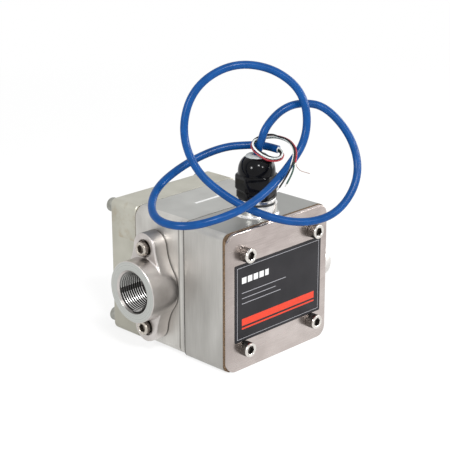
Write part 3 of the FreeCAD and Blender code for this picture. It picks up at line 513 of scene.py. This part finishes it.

# %% [markdown]
# ## Metal finishes
# Five metals meet here. The chamber and housing are sawn bar with a soft satin grain, the label plate is a
# rolled sheet with a warm tint, the flanges are fine castings, the rear cover is a coarser, yellower one,
# and the screws are bright, with a darker copy for painted shade. Each finish reads Object coordinates, so
# its grain has a real size in millimetres, and broad stretched noise stands for the uneven polish that a
# hand-held sander leaves. Light and shade are painted by rules of place: a painted reflection tone on tops,
# painted highlights and shade lines on edges, and painted shade in seams, at the feet of parts and lower
# down.


# %% Sawn bar and rolled sheet
def satin_metal(name, dark, pale, grain, streak, roughness):
    """Make brushed bar: broad uneven polish, soft streaks and fine scratches."""
    finish = Finish(name)
    broad = finish.clouds(46, streak)
    bands = finish.clouds(15, streak, offset=(3, 1, 7))
    scratches = finish.clouds(0.6, grain)
    tone = 0.5 * broad + 0.34 * bands + 0.16 * scratches
    color = finish.ramp(tone, (0.36, dark), (0.62, pale))
    return finish, color, roughness - 0.06 + 0.16 * bands, finish.bump(scratches, 0.02, 0.22)


FACE = 114.3
MIDDLE, TOP = FACE / 2, FACE - 0.1
finish, color, rough, normal = satin_metal("chamber_steel", (0.45, 0.435, 0.41), (0.68, 0.67, 0.635),
                                           (1, 1, 24), (1, 1, 2.6), 0.42)
_, depth, height = finish.axes()
on_side = height < 113.0
highlit_strip, strip_shade_line, seam_and_gap_shade = depth < -24.2, abs(depth + 22.4) < 0.4, depth > 27.5
# Painted reflection: the chamber's top face is darker and greener than its sides.
color = finish.mix(0.6 * (height > TOP), color, (0.335, 0.345, 0.335))
# Painted highlight: the front strip of each side, by the chamfer, is paler.
color = finish.mix(0.2 * highlit_strip * on_side, color, (0.46, 0.45, 0.43))
# Painted shade: a thin dark line along the chamfer's edge.
color = finish.mix(0.6 * strip_shade_line * on_side, color, (0.1, 0.095, 0.085))
# Dark joint to the rear cover, with painted shade in its gap.
color = finish.mix(0.85 * seam_and_gap_shade, color, (0.1, 0.075, 0.055))
chamber_steel = finish.shade(base_color=color, roughness=rough, metallic=1.0, normal=normal)

finish, color, rough, normal = satin_metal("housing_steel", (0.37, 0.36, 0.34), (0.55, 0.54, 0.515),
                                           (1, 1, 30), (1, 1, 3.2), 0.44)
across, depth, height = finish.axes()
low_shade, seam_and_gap_shade = finish.ramp(height / FACE, (0.0, 0.4), (0.28, 0.0)), depth > -28.9
bosses = height.math("MAXIMUM", height > FACE + 0.15, abs(across) > MIDDLE + 0.15)
# Painted reflection: the housing's top face is darker than its sides.
color = finish.mix(0.8 * (height > TOP), color, (0.275, 0.28, 0.27))
# Painted shade: the housing gets darker towards the bottom.
color = finish.mix(low_shade, color, (0.3, 0.29, 0.27))
# Dark joint to the chamber, with painted shade in its gap.
color = finish.mix(0.9 * seam_and_gap_shade, color, (0.04, 0.037, 0.033))
housing_steel = finish.shade(base_color=finish.mix(bosses, color, (0.8, 0.79, 0.77)),
                             roughness=rough * (1 - bosses) + 0.22 * bosses, metallic=1.0, normal=normal)

finish, color, rough, normal = satin_metal("plate_steel", (0.37, 0.32, 0.3), (0.59, 0.525, 0.5),
                                           (22, 1, 1), (1.6, 1, 1), 0.24)
across, _, height = finish.axes()
gland_shadow_and_reflection = (height > 113.7) * (abs(across + 22.0) < 10.0)
left_edge_shade = finish.ramp((across + MIDDLE) / 16, (0.2, 1.0), (1.0, 0.0)) * (0.25 + 0.5 * height / FACE)
# Painted light: the plate is paler towards the bottom.
color = finish.mix(0.34 - height / 160, color, (0.66, 0.61, 0.58))
# Painted shadow and painted dark reflection of the gland on the plate's top edge, under the boss.
color = finish.mix(0.85 * gland_shadow_and_reflection, color, (0.05, 0.05, 0.06))
# Painted shade along the plate's left edge, deeper towards the top.
color = finish.mix(left_edge_shade, color, (0.34, 0.3, 0.28))
plate_steel = finish.shade(base_color=color, roughness=rough, metallic=1.0, normal=normal)
print("bar and sheet:", [metal.name for metal in (chamber_steel, housing_steel, plate_steel)])

# %% Castings
finish = Finish("cover_casting")
across, _, height = finish.axes()
mottle, speck = finish.clouds(26, detail=3.0), finish.clouds(1.1)
top_corners = (abs(across) > 50.0) * (height > 84.0)
stain = finish.ramp(finish.clouds(9, detail=4.0, rough=0.65), (0.48, 0.0), (0.72, 0.6)) * top_corners
low_shade = finish.ramp(height / FACE, (0.0, 0.5), (0.3, 0.0))
color = finish.ramp(mottle, (0.3, (0.38, 0.37, 0.315)), (0.7, (0.475, 0.465, 0.405)))
# Painted shade: the cover gets darker towards the bottom.
color = finish.mix(low_shade, color, (0.28, 0.27, 0.225))
cover_casting = finish.shade(
    base_color=finish.mix(stain, color, (0.33, 0.26, 0.17)),
    roughness=0.4 + 0.12 * mottle, metallic=0.85, normal=finish.bump(0.6 * mottle + 0.4 * speck, 0.1, 0.5))
PORT_MOUTH, PORT_DEPTH, PORT_HEIGHT = 84.3, 3.2, 54.95


def port_place(finish):
    """Give the distance from the meter's middle, the rise over the port and the distance from its axis."""
    across, depth, height = finish.axes()
    lift = height - PORT_HEIGHT
    return abs(across), lift, ((depth - PORT_DEPTH) ** 2.0 + lift ** 2.0) ** 0.5


finish = Finish("flange_casting")
mottle, speck = finish.clouds(12, detail=3.0), finish.clouds(0.9)
outwards, lift, from_axis = port_place(finish)
rings = finish.node("ShaderNodeTexNoise", {"noise_dimensions": "1D"},
                    {"W": from_axis, "Scale": 2.5, "Detail": 2.0})
machined = (outwards > PORT_MOUTH - 0.15) * (from_axis > 16.9)
mouth_rim = (outwards > 82.6) * (from_axis < 18.15)
inner_painted_light = finish.ramp((outwards - 58.0) / 12, (0.0, 0.6), (1.0, 0.0))
lug_top_reflection = finish.ramp((lift - 41.55) / 4, (0.0, 0.0), (1.0, 0.8)) * (outwards < 70.0)
low_rim_shade = finish.ramp((lift + 10.0) / 8, (0.0, 0.75), (1.0, 0.0)) * mouth_rim
color = finish.ramp(mottle, (0.3, (0.47, 0.44, 0.42)), (0.7, (0.6, 0.565, 0.545)))
# Painted light: the flange is paler near its foot on the chamber.
color = finish.mix(inner_painted_light, color, (0.85, 0.8, 0.77))
# Painted dark reflection on the tops of the lugs.
color = finish.mix(lug_top_reflection, color, (0.09, 0.1, 0.125))
# Painted shade on the lower part of the mouth's rim.
color = finish.mix(low_rim_shade, color, (0.06, 0.058, 0.055))
cut_face = finish.ramp(rings, (0.3, (0.4, 0.41, 0.39)), (0.7, (0.52, 0.53, 0.505)))
color = finish.mix(machined, color, cut_face)
# Painted shadow: a dark line along the foot, where the flange meets the chamber.
color = finish.mix(0.85 * (outwards < 58.1), color, (0.05, 0.045, 0.04))
flange_casting = finish.shade(
    base_color=color, metallic=1.0,
    roughness=(0.3 + 0.14 * mottle) * (1 - machined) + (0.24 + 0.1 * rings) * machined,
    normal=finish.bump(speck * (1 - machined) + 0.2 * rings * machined, 0.06, 0.5))
print("castings:", cover_casting.name, flange_casting.name)

# %% Screws and thread
screw_bright = solid_noise("screw_bright", (0.58, 0.55, 0.51), (0.78, 0.75, 0.71), 1.6, 0.22, 1.0)
# Darker copies of the screw metal for the knurled sides and the sockets: painted shade.
screw_shade = solid_noise("screw_shade", (0.07, 0.065, 0.06), (0.26, 0.24, 0.225), 1.2, 0.3, 1.0)
lug_screw_shade = solid_noise("lug_screw_shade", (0.14, 0.125, 0.11), (0.32, 0.29, 0.265), 1.2, 0.3, 1.0)
screw_lug = solid_noise("screw_lug", (0.38, 0.345, 0.3), (0.6, 0.555, 0.5), 1.6, 0.28, 1.0)
bolt_dull = solid_noise("bolt_dull", (0.25, 0.25, 0.225), (0.38, 0.38, 0.345), 3, 0.4, 1.0)

THREAD_MOUTH, THREAD_RIDGE = 82.95, 1.12
finish = Finish("thread_steel")
outwards, lift, from_axis = port_place(finish)
sunk = (from_axis - 15.58 + (THREAD_MOUTH - outwards) / 32) / THREAD_RIDGE
# Painted highlight on the thread's crests and painted shade in its grooves: strong below the axis, soft
# above it.
crest_glint_and_groove_shade = finish.ramp(sunk, (0.06, (0.78, 0.77, 0.75)), (0.34, (0.012, 0.011, 0.01)))
soft = finish.ramp(sunk, (0.06, (0.44, 0.44, 0.42)), (0.4, (0.13, 0.13, 0.125)))
thread_shadow_band = abs(lift + 3.0) < 2.1
color = finish.mix(finish.ramp((lift + 2.0) / 3, (0.0, 0.0), (1.0, 1.0)), crest_glint_and_groove_shade, soft)
thread_steel = finish.shade(
    # Painted shadow: a dark band across the thread just below the axis.
    base_color=finish.mix(0.88 * thread_shadow_band, color, (0.012, 0.011, 0.01)),
    roughness=0.2 + 0.1 * finish.clouds(1.5), metallic=finish.ramp(sunk, (0.15, 1.0), (0.4, 0.0)),
    specular_ior_level=0.1)
print("hardware metals are mixed")

# %% [markdown]
# ## Label plate, gasket and label
# The plate is a three millimetre sheet with softened edges that catch a thin line of light. Behind it the
# cork gasket shows as a brown, slightly ragged edge, so its outline is shaken by noise. The label is a dark
# film with a plain generic print, drawn by the shader from rules in millimetres, which stays sharp at any
# distance.


# %% Plate and gasket
def slab_rings(width, height, corner, profile, drop=0.0, edge_steps=1):
    """Stack rounded rectangles: each profile entry is an inset and a depth."""
    rings = []
    for inset, y in profile:
        outline = round_square(width - 2 * inset, height - 2 * inset, max(corner - inset, 0.05), edge_steps)
        rings.append([mm(x, y, MIDDLE - drop + z) for x, z in outline])
    return rings


PLATE_FRONT, PLATE_BACK, HOUSING_FRONT = -76.4, -73.4, -71.0
plate_rings = slab_rings(FACE, FACE, 9, [(0.8, PLATE_FRONT), (0.4, -76.34), (0.12, -76.14), (0.0, -75.75),
                                         (0.0, -73.7), (0.3, PLATE_BACK)])
add_piece("label_plate", ring_mesh(plate_rings), "plate_metal", "front_cover", material=plate_steel)
cork = Finish("cork_gasket")
grains, flecks = cork.clouds(1.5, detail=3.0), cork.clouds(0.6, detail=1.0)
color = cork.ramp(grains, (0.3, (0.05, 0.03, 0.016)), (0.7, (0.24, 0.15, 0.08)))
cork_brown = cork.shade(base_color=cork.mix(flecks > 0.58, color, (0.012, 0.009, 0.006)), roughness=0.9,
                        normal=cork.bump(grains, 0.3))
gasket_rings = slab_rings(FACE, FACE, 6, [(0.15, PLATE_BACK), (0.02, -72.8), (0.1, -72.2), (0.02, -71.6),
                                          (0.15, HOUSING_FRONT)], edge_steps=80)
ragged, tucked = 0.00022, 0.0001
for ring in gasket_rings:
    for point in ring:
        outwards = Vector((point.x, 0, point.z - MIDDLE / 1000)).normalized()
        point += outwards * ragged * noise.noise(point * 900) - outwards * tucked
gasket_rings += slab_rings(100, 100, 20, [(0, HOUSING_FRONT), (0, PLATE_BACK)], edge_steps=80)
add_piece("cork_gasket", ring_mesh(gasket_rings, True), "gasket_cork", "cover_gasket", material=cork_brown)

# %% Label film and its print
LABEL_DROP = 1.0
film = Finish("label_film")
label_x, _, label_z = film.axes()
label_z = label_z - (MIDDLE - LABEL_DROP)


def box_mask(x0, x1, z0, z1):
    """Give 1 inside a rectangle of the label."""
    return (label_x > x0) * (label_x < x1) * (label_z > z0) * (label_z < z1)


border = box_mask(-47.2, 47.2, -29.7, 29.7) - box_mask(-46.8, 46.8, -29.3, 29.3)
stripes = box_mask(-42, 42, -19.0, -13.2) + box_mask(-42, 42, -22.0, -20.6)
squares = box_mask(-42, -12, 16.0, 21.0) * (label_x.math("MODULO", label_x + 42.0, 6.5) < 5.0)
rules = box_mask(-42, 8, 8.0, 8.5) + box_mask(-42, -4, 3.6, 4.1) + box_mask(-42, 2, -0.8, -0.3)
grain = film.clouds(0.8)
color = film.ramp(film.clouds(20), (0.3, (0.0145, 0.014, 0.016)), (0.7, (0.0205, 0.0195, 0.022)))
color = film.mix(border + rules, color, (0.3, 0.3, 0.32))
color = film.mix(squares, color, (0.58, 0.58, 0.58))
color = film.mix(stripes, color, (0.55, 0.045, 0.022))
label_film = film.shade(base_color=color, roughness=0.46 + 0.1 * grain, specular_ior_level=0.16,
                        normal=film.bump(grain, 0.01, 0.4))
label_rings = slab_rings(99, 64, 1.0, [(0.2, -76.9), (0.05, -76.86), (0.0, -76.75), (0.0, PLATE_FRONT)],
                         LABEL_DROP)
add_piece("label", ring_mesh(label_rings), "label_dark", "nameplate", material=label_film)

# %% [markdown]
# ## Socket screws
# Twelve cap screws show on the meter. One head is built as rings, with a knurled side, a bevelled rim and
# a hexagon socket, and a small Geometry Nodes tree sets a copy on each spot and gives it its own turn, as
# screws never stop at the same angle. The tree ends in real geometry, because instances don't survive
# export.


# %% Helpers for node trees
def tree_with(name, inputs):
    """Start a Geometry Nodes tree with named inputs and one geometry output."""
    tree = bpy.data.node_groups.new(name, "GeometryNodeTree")
    for label, kind in inputs.items():
        tree.interface.new_socket(label, in_out="INPUT", socket_type="NodeSocket" + kind)
    tree.interface.new_socket("Result", in_out="OUTPUT", socket_type="NodeSocketGeometry")
    start, end = tree.nodes.new("NodeGroupInput"), tree.nodes.new("NodeGroupOutput")

    def add(kind, links, **settings):
        made = tree.nodes.new(kind)
        for key, value in settings.items():
            setattr(made, key, value)
        for key, value in links.items():
            if isinstance(value, bpy.types.NodeSocket):
                tree.links.new(value, made.inputs[key])
            else:
                made.inputs[key].default_value = value
        return made

    return tree, start.outputs, end.inputs, add


def grow(tree, mesh, values):
    """Run a tree on a mesh and give the result as a plain mesh."""
    holder = put("holder", mesh)
    modifier = holder.modifiers.new("tree", "NODES")
    modifier.node_group = tree
    for item in tree.interface.items_tree:
        if item.in_out == "INPUT" and item.name in values:
            modifier[item.identifier] = values[item.name]
    return plain_mesh(holder)


# %% One tree for every row of screws
screw_tree, given, taken, add = tree_with("screw_row", {
    "Spots": "Geometry", "Screw": "Object", "Facing": "Vector", "Seed": "Int", "Bright": "Material",
    "Shade Material": "Material"})
head = add("GeometryNodeObjectInfo", {"Object": given["Screw"]})
facing = add("FunctionNodeEulerToRotation", {0: given["Facing"]})
rows = add("GeometryNodeInstanceOnPoints", {"Points": given["Spots"], "Instance": head.outputs["Geometry"],
                                            "Rotation": facing.outputs[0]})
chance = add("FunctionNodeRandomValue", {3: math.pi / 3, "Seed": given["Seed"]}, data_type="FLOAT")
spin = add("ShaderNodeCombineXYZ", {"Z": chance.outputs[1]})
turned = add("FunctionNodeEulerToRotation", {0: spin.outputs[0]})
loose = add("GeometryNodeRotateInstances", {"Instances": rows.outputs[0], "Rotation": turned.outputs[0]})
real = add("GeometryNodeRealizeInstances", {0: loose.outputs[0]})
# Faces marked as shaded get the darker copy of the metal: painted shade on the knurled side and in the
# socket.
grip = add("GeometryNodeInputNamedAttribute", {"Name": "grip"}, data_type="BOOLEAN")
bright_all = add("GeometryNodeSetMaterial", {"Geometry": real.outputs[0], "Material": given["Bright"]})
shaded_copy = add("GeometryNodeSetMaterial", {"Geometry": bright_all.outputs[0], "Selection": grip.outputs[0],
                                            "Material": given["Shade Material"]})
screw_tree.links.new(shaded_copy.outputs[0], taken[0])


def cap_screw(name, radius, height, socket, depth):
    """Build one socket head standing on z = 0, with the faces for painted shade, its knurled side and
    socket, marked face by face.
    """
    sides, key = 144, hexagon(socket, socket)

    def knurl(angle):
        return radius - 0.11 + 0.11 * math.cos(36 * angle)

    rim = socket / math.sqrt(3) + 0.25
    profile = [(radius * 0.6, -1.0), (radius * 0.6, 0), (radius - 0.3, 0), (radius - 0.12, 0.25),
               (knurl, 0.45), (knurl, height - 1.25), (radius - 0.12, height - 1.05),
               (radius - 0.16, height - 0.7), (radius - 0.4, height - 0.22), (radius - 0.85, height),
               (rim, height), (rim - 0.2, height - 0.2), (key, height - 0.45), (key, height - depth),
               (0.4, height - depth - 0.9)]
    mesh = ring_mesh([circle(size, place, sides) for size, place in profile])
    marks = mesh.attributes.new("grip", "BOOLEAN", "FACE")
    side_rows, socket_row = range(2, 6), 12
    for face in mesh.polygons:
        row = face.index // sides
        marks.data[face.index].value = row in side_rows or row >= socket_row
    return bpy.data.objects.new(name, mesh)


def screw_row(name, node, spots, facing, seed, bright=screw_bright, grip=screw_shade):
    """Set screws on spots in place of a CAD node."""
    master = cap_screw(name + "_head", 6.0, 7.94, 6.35, 4.0)
    mesh = bpy.data.meshes.new(name + "_spots")
    mesh.from_pydata([mm(*spot) for spot in spots], [], [])
    grown = grow(screw_tree, mesh, {"Screw": master, "Facing": facing, "Seed": seed, "Bright": bright,
                                    "Shade Material": grip})
    bpy.data.objects.remove(master)
    return add_piece(name, tidy(grown, 28), "screw_steel", node)


# %% Set the screws
PLATE_PITCH, COVER_PITCH, COVER_BACK = 39, 48.5, 59.0
LUG_RISE, LUG_SEAT = 33.5, 66.85
QUARTER_TURN = math.pi / 2
corners = [(1, 1), (-1, 1), (-1, -1), (1, -1)]
screw_row("plate_screws", "cover_screws",
          [(PLATE_PITCH * x, PLATE_FRONT, MIDDLE + PLATE_PITCH * z) for x, z in corners],
          (QUARTER_TURN, 0, 0), 4)
screw_row("cover_bolts", "rear_cover_bolts",
          [(COVER_PITCH * x, COVER_BACK, MIDDLE + COVER_PITCH * z) for x, z in corners],
          (-QUARTER_TURN, 0, 0), 9, bolt_dull, bolt_dull)
for port, side, seed in (("inlet", -1, 2), ("outlet", 1, 7)):
    screw_row(port + "_screws", port + "_flange_screws",
              [(side * LUG_SEAT, PORT_DEPTH, PORT_HEIGHT + LUG_RISE * z) for z in (1, -1)],
              (0, side * QUARTER_TURN, 0), seed, screw_lug, lug_screw_shade)

# %% [markdown]
# ## Port flanges
# Each flange is a fine casting with soft edges everywhere except where a tool has touched it. That is the
# order here too: a copy of the solid, made a little too long, is turned into even voxels and smoothed,
# which rounds all its edges like a casting, and then cutters remove the extra length, the bore and the
# screw seats.


# %% Cast, then machine
def along_port(profile, height=PORT_HEIGHT, sides=96):
    """Turn a profile of distance from the mouth and radius round the inlet's axis."""
    return [[mm(-PORT_MOUTH - away, PORT_DEPTH, height) + Vector((0, point.x, point.y))
             for point in circle(max(radius, 0.05), 0, sides)] for away, radius in profile]


def carve(mesh, cutter):
    """Take a cutter away from a closed mesh."""
    piece, tool = (put("carve", data) for data in (mesh, cutter))
    cutting = piece.modifiers.new("cut", "BOOLEAN")
    cutting.operation, cutting.solver, cutting.object = "DIFFERENCE", "MANIFOLD", tool
    carved = plain_mesh(piece)
    bpy.data.objects.remove(tool)
    return carved


def cast_flange():
    """Round the inlet flange like a casting and cut its faces back to size."""
    shell = bmesh.new()
    shell.from_mesh(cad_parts["inlet_flange"].data)
    bmesh.ops.remove_doubles(shell, verts=shell.verts, dist=1e-6)
    near_mouth, near_foot, mouth_extra, foot_extra = -0.080, -0.0573, 0.003, 0.0005
    for vertex in shell.verts:
        if vertex.co.x < near_mouth:
            vertex.co.x -= mouth_extra
        elif vertex.co.x > near_foot:
            vertex.co.x += foot_extra
    blank = bpy.data.meshes.new("flange_blank")
    shell.to_mesh(blank)
    shell.free()
    holder = put("flange_blank", blank)
    voxels = holder.modifiers.new("voxels", "REMESH")
    voxels.mode, voxels.voxel_size = "VOXEL", 0.00062
    soften = holder.modifiers.new("soften", "SMOOTH")
    soften.factor, soften.iterations = 0.5, 7
    soft = plain_mesh(holder)
    mouth = along_port([(-36, 0), (-36, 11.2), (-25, 11.2), (-25, 16.6), (-1.6, 16.6), (0, 18.2), (0, 24.8),
                        (-0.25, 25.15), (-0.7, 25.5), (-0.7, 60), (8, 60), (8, 0)])
    foot = along_port([(-50, 0), (-50, 70), (-27.15, 70), (-27.15, 0)])
    seats = [along_port([(-17.45, 0), (-17.45, 7.0), (-5, 7.0), (-5, 0)], PORT_HEIGHT + lug, 48)
             for lug in (LUG_RISE, -LUG_RISE)]
    for rings in (mouth, foot, *seats):
        soft = carve(soft, ring_mesh(rings))
    return tidy(soft, 30)


inlet_cast = cast_flange()
outlet_cast = inlet_cast.copy()
outlet_cast.transform(Matrix.Translation(mm(0, 2 * PORT_DEPTH, 0)) @ Matrix.Rotation(math.pi, 4, "Z"))
for port, mesh in (("inlet", inlet_cast), ("outlet", outlet_cast)):
    add_piece(port + "_casting", mesh, "flange_metal", port + "_flange", material=flange_casting)

# %% [markdown]
# ## Pipe threads
# Each mouth carries about ten turns of taper pipe thread. A spiral curve swept with a small diamond section
# follows the rule of a thread exactly, so Geometry Nodes make it from four sizes: turns, length and the
# radius at each end. Half of the diamond is sunk into the bore's wall, which leaves the ridge.

# %% Wind the threads
thread_tree, given, taken, add = tree_with("pipe_thread", {
    "Blank": "Geometry", "Turns": "Float", "Length": "Float", "Mouth Radius": "Float",
    "Inner Radius": "Float", "Ridge": "Float", "Steel": "Material"})
spiral = add("GeometryNodeCurveSpiral", {
    "Resolution": 72, "Rotations": given["Turns"], "Start Radius": given["Mouth Radius"],
    "End Radius": given["Inner Radius"], "Height": given["Length"]})
steady = add("GeometryNodeSetCurveNormal", {"Curve": spiral.outputs[0]}, mode="Z_UP")
section = add("GeometryNodeCurvePrimitiveCircle", {"Resolution": 4, "Radius": given["Ridge"]})
swept = add("GeometryNodeCurveToMesh", {"Curve": steady.outputs[0], "Profile Curve": section.outputs[0],
                                        "Fill Caps": True})
real = add("GeometryNodeRealizeInstances", {0: swept.outputs[0]})
steel = add("GeometryNodeSetMaterial", {"Geometry": real.outputs[0], "Material": given["Steel"]})
thread_tree.links.new(steel.outputs[0], taken[0])
for name, side in (("inlet_thread", 1), ("outlet_thread", -1)):
    thread = grow(thread_tree, bpy.data.meshes.new("blank"), {
        "Turns": 10.3, "Length": 0.0228, "Mouth Radius": 0.0167, "Inner Radius": 0.016,
        "Ridge": THREAD_RIDGE / 1000, "Steel": thread_steel})
    thread.transform(Matrix.Translation(mm(-side * THREAD_MOUTH, PORT_DEPTH, PORT_HEIGHT))
                     @ Matrix.Rotation(side * QUARTER_TURN, 4, "Y"))
    add_piece(name, tidy(thread, 25), "flange_metal")

# %% [markdown]
# ## Cable gland
# The gland is glossy black plastic: a hexagon that screws into the boss, and a domed nut that squeezes a
# soft grey seal round the cable. Rings with a hexagon's radius, cut back to a circle at the corners, give
# the turned-down corners of a real moulding. A bright washer with a rubber face seals it on the polished
# boss.

# %% Gland rings
gland_black = solid_noise("gland_black", (0.002, 0.002, 0.0024), (0.004, 0.004, 0.005), 5, 0.09,
                          depth=0.015, spread=0.02, specular_ior_level=0.14)
seal_grey = solid_noise("seal_grey", (0.3, 0.32, 0.32), (0.46, 0.48, 0.48), 3, 0.55, depth=0.05)
rubber = solid_noise("seal_rubber", (0.012, 0.012, 0.013), (0.03, 0.03, 0.031), 2, 0.6, depth=0.05)
washer_bright = solid_noise("washer_bright", (0.62, 0.61, 0.6), (0.84, 0.83, 0.82), 2.0, 0.16, 1.0)
GLAND_TURN, GLAND_SIDES = math.radians(15), 96


def gland_mesh(steps, sides=GLAND_SIDES, closed=False):
    """Stack rings on the gland's axis: radius and height, or a hexagon's flats, corner limit and height."""
    rings = []
    for *shape, height in steps:
        radius = shape[0] if len(shape) == 1 else hexagon(*shape, GLAND_TURN)
        rings.append([point + mm(0, GLAND_DEPTH, 0) for point in circle(radius, height, sides)])
    return ring_mesh(rings, closed)


dome = [(6.5 + 8.4 * math.cos(angle), 148.5 + 12.6 * math.sin(angle))
        for angle in [math.radians(72.7 * step / 14) for step in range(15)]]
nut_steps = [(11.6, 134.5), (29.2, 15.6, 134.5), (29.7, 16.4, 134.8), (30, 17.0, 135.6), (30, 17.0, 145.3),
             (29.8, 16.6, 146.3), (29.4, 15.7, 146.9), (15.2, 147.0), (14.95, 147.15), (14.9, 147.6),
             *dome, (9.0, GLAND_TOP), (9.0, 158.0)]
hexagon_steps = [(9.9, 109.8), (9.9, 127.3), (27.4, 14.6, 127.3), (28, 15.9, 128.1), (28, 15.9, 133.4),
                 (27.6, 15.0, 134.2), (13.3, 134.4), (11.5, 134.5), (11.4, 150)]
seal_steps = [(8.9, 158.1), (8.9, 161.0), (8.5, 161.7), (7.4, 162.3), (5.6, 162.6), (4.3, 162.7),
              (3.6, 162.3), (3.2, 161.2)]
washer_steps = [(10.1, 123.6), (14.5, 123.6), (14.75, 124.0), (14.6, 124.9), (14.9, 125.0), (15.2, 125.3),
                (15.2, 126.9), (14.9, 127.3), (10.1, 127.3)]
add_piece("gland_nut", gland_mesh(nut_steps), "gland_black", "gland_dome_nut", material=gland_black)
add_piece("gland_hexagon", gland_mesh(hexagon_steps), "gland_black", "gland_body", material=gland_black)
add_piece("gland_seal", gland_mesh(seal_steps, 72), "gland_seal", "gland_seal_insert", material=seal_grey)
washer = gland_mesh(washer_steps, closed=True)
washer.materials.append(washer_bright)
washer.materials.append(rubber)
for face in washer.polygons:
    face.material_index = int(face.index // GLAND_SIDES in (0, 1, 2))
add_piece("boss_washer", washer, "gland_ring", "gland_washer")

# %% [markdown]
# ## Second cable entry
# The housing has another threaded boss on its right side, closed by a turned plug that peeps out beside the
# label plate. It is one more stack of rings: a bevelled disc with a hexagon socket for the key.

# %% Entry plug
plug_key = hexagon(10, 10)
plug_profile = [(9.9, 52.6), (9.9, 66.3), (15.0, 66.3), (15.4, 66.6), (15.5, 67.0), (15.5, 73.5),
                (15.35, 73.95), (14.95, 74.25), (14.5, 74.35), (7.6, 74.35), (7.2, 74.1), (plug_key, 73.9),
                (plug_key, 69.5), (0.4, 69.0)]
plug_mesh = ring_mesh([circle(radius, height, 96) for radius, height in plug_profile])
plug_mesh.transform(Matrix.Translation(mm(0, GLAND_DEPTH, MIDDLE)) @ Matrix.Rotation(QUARTER_TURN, 4, "Y"))
plug_pale = solid_noise("plug_pale", (0.6, 0.575, 0.55), (0.7, 0.675, 0.65), 6, 0.4, 0.9, depth=0.02)
add_piece("entry_plug", plug_mesh, "screw_steel", "conduit_plug", material=plug_pale)

# %% [markdown]
# ## Flow arrow
# An arrow on the chamber's top shows which way the liquid goes. On the real block it is a shallow cut of
# bare metal that catches a highlight, so a thin bright inlay in the groove of the solid carries the metal
# and a painted highlight.

# %% Arrow inlay
arrow = bpy.data.meshes.new("flow_arrow")
outline = [(-16.9, -1.5), (10.1, -1.5), (10.1, -3.4), (16.6, 0.0), (10.1, 3.4), (10.1, 1.5), (-16.9, 1.5)]
caps = [tuple(range(7))[::-1], tuple(range(7, 14))]
sides = [(i, (i + 1) % 7, 7 + (i + 1) % 7, 7 + i) for i in range(7)]
arrow.from_pydata([mm(x, y, z) for z in (113.82, 114.24) for x, y in outline], [], caps + sides)
arrow_bright_and_highlight = solid_noise("arrow_bright_and_highlight", (0.76, 0.76, 0.75), (0.92, 0.92, 0.91), 3, 0.4, 0.6)
add_piece("flow_arrow", tidy(arrow), "body_metal", material=arrow_bright_and_highlight)

# %% [markdown]
# ## Solids that stay
# The blocks themselves and everything inside are right as they are, so they only get a finish. Even hidden
# pieces have one, because the part may be opened or cut away in another picture.

# %% Finish the remaining solids
finishes = [
    (chamber_steel, "chamber_body"), (housing_steel, "front_housing"), (cover_casting, "rear_cover"),
    (rubber, "rear_cover_oring", "inlet_oring", "outlet_oring"),
    (screw_bright, "housing_screws", "board_screws"),
    (solid_noise("rotor_plastic", (0.08, 0.075, 0.07), (0.13, 0.12, 0.11), 4, 0.45, depth=0.04),
     "rotor_upper", "rotor_lower"),
    (solid_noise("bush_carbon", (0.02, 0.02, 0.022), (0.05, 0.05, 0.052), 1.5, 0.4),
     "rotor_upper_bush", "rotor_lower_bush", "thrust_washers"),
    (solid_noise("magnet_plate", (0.55, 0.54, 0.5), (0.7, 0.69, 0.66), 2, 0.2, 1.0),
     "rotor_upper_magnets", "rotor_lower_magnets"),
    (solid_noise("shaft_steel", (0.48, 0.48, 0.47), (0.66, 0.66, 0.65), 2, 0.18, 1.0, (1, 6, 1)),
     "rotor_shafts"),
    (solid_noise("board_green", (0.01, 0.11, 0.045), (0.02, 0.17, 0.07), 3, 0.35), "sensor_board"),
    (solid_noise("terminal_green", (0.02, 0.2, 0.06), (0.04, 0.28, 0.09), 2, 0.4), "terminal_block"),
    (solid_noise("sensor_black", (0.01, 0.01, 0.011), (0.03, 0.03, 0.03), 1, 0.5),
     "reed_switch", "hall_sensor")]
for material, *names in finishes:
    for solid in [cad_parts[name] for name in names]:
        if not solid.material_slots:
            solid.data.materials.append(material)
        for spot in solid.material_slots:
            spot.material = material
print("solids with a finish:", sum(len(names) for _, *names in finishes))
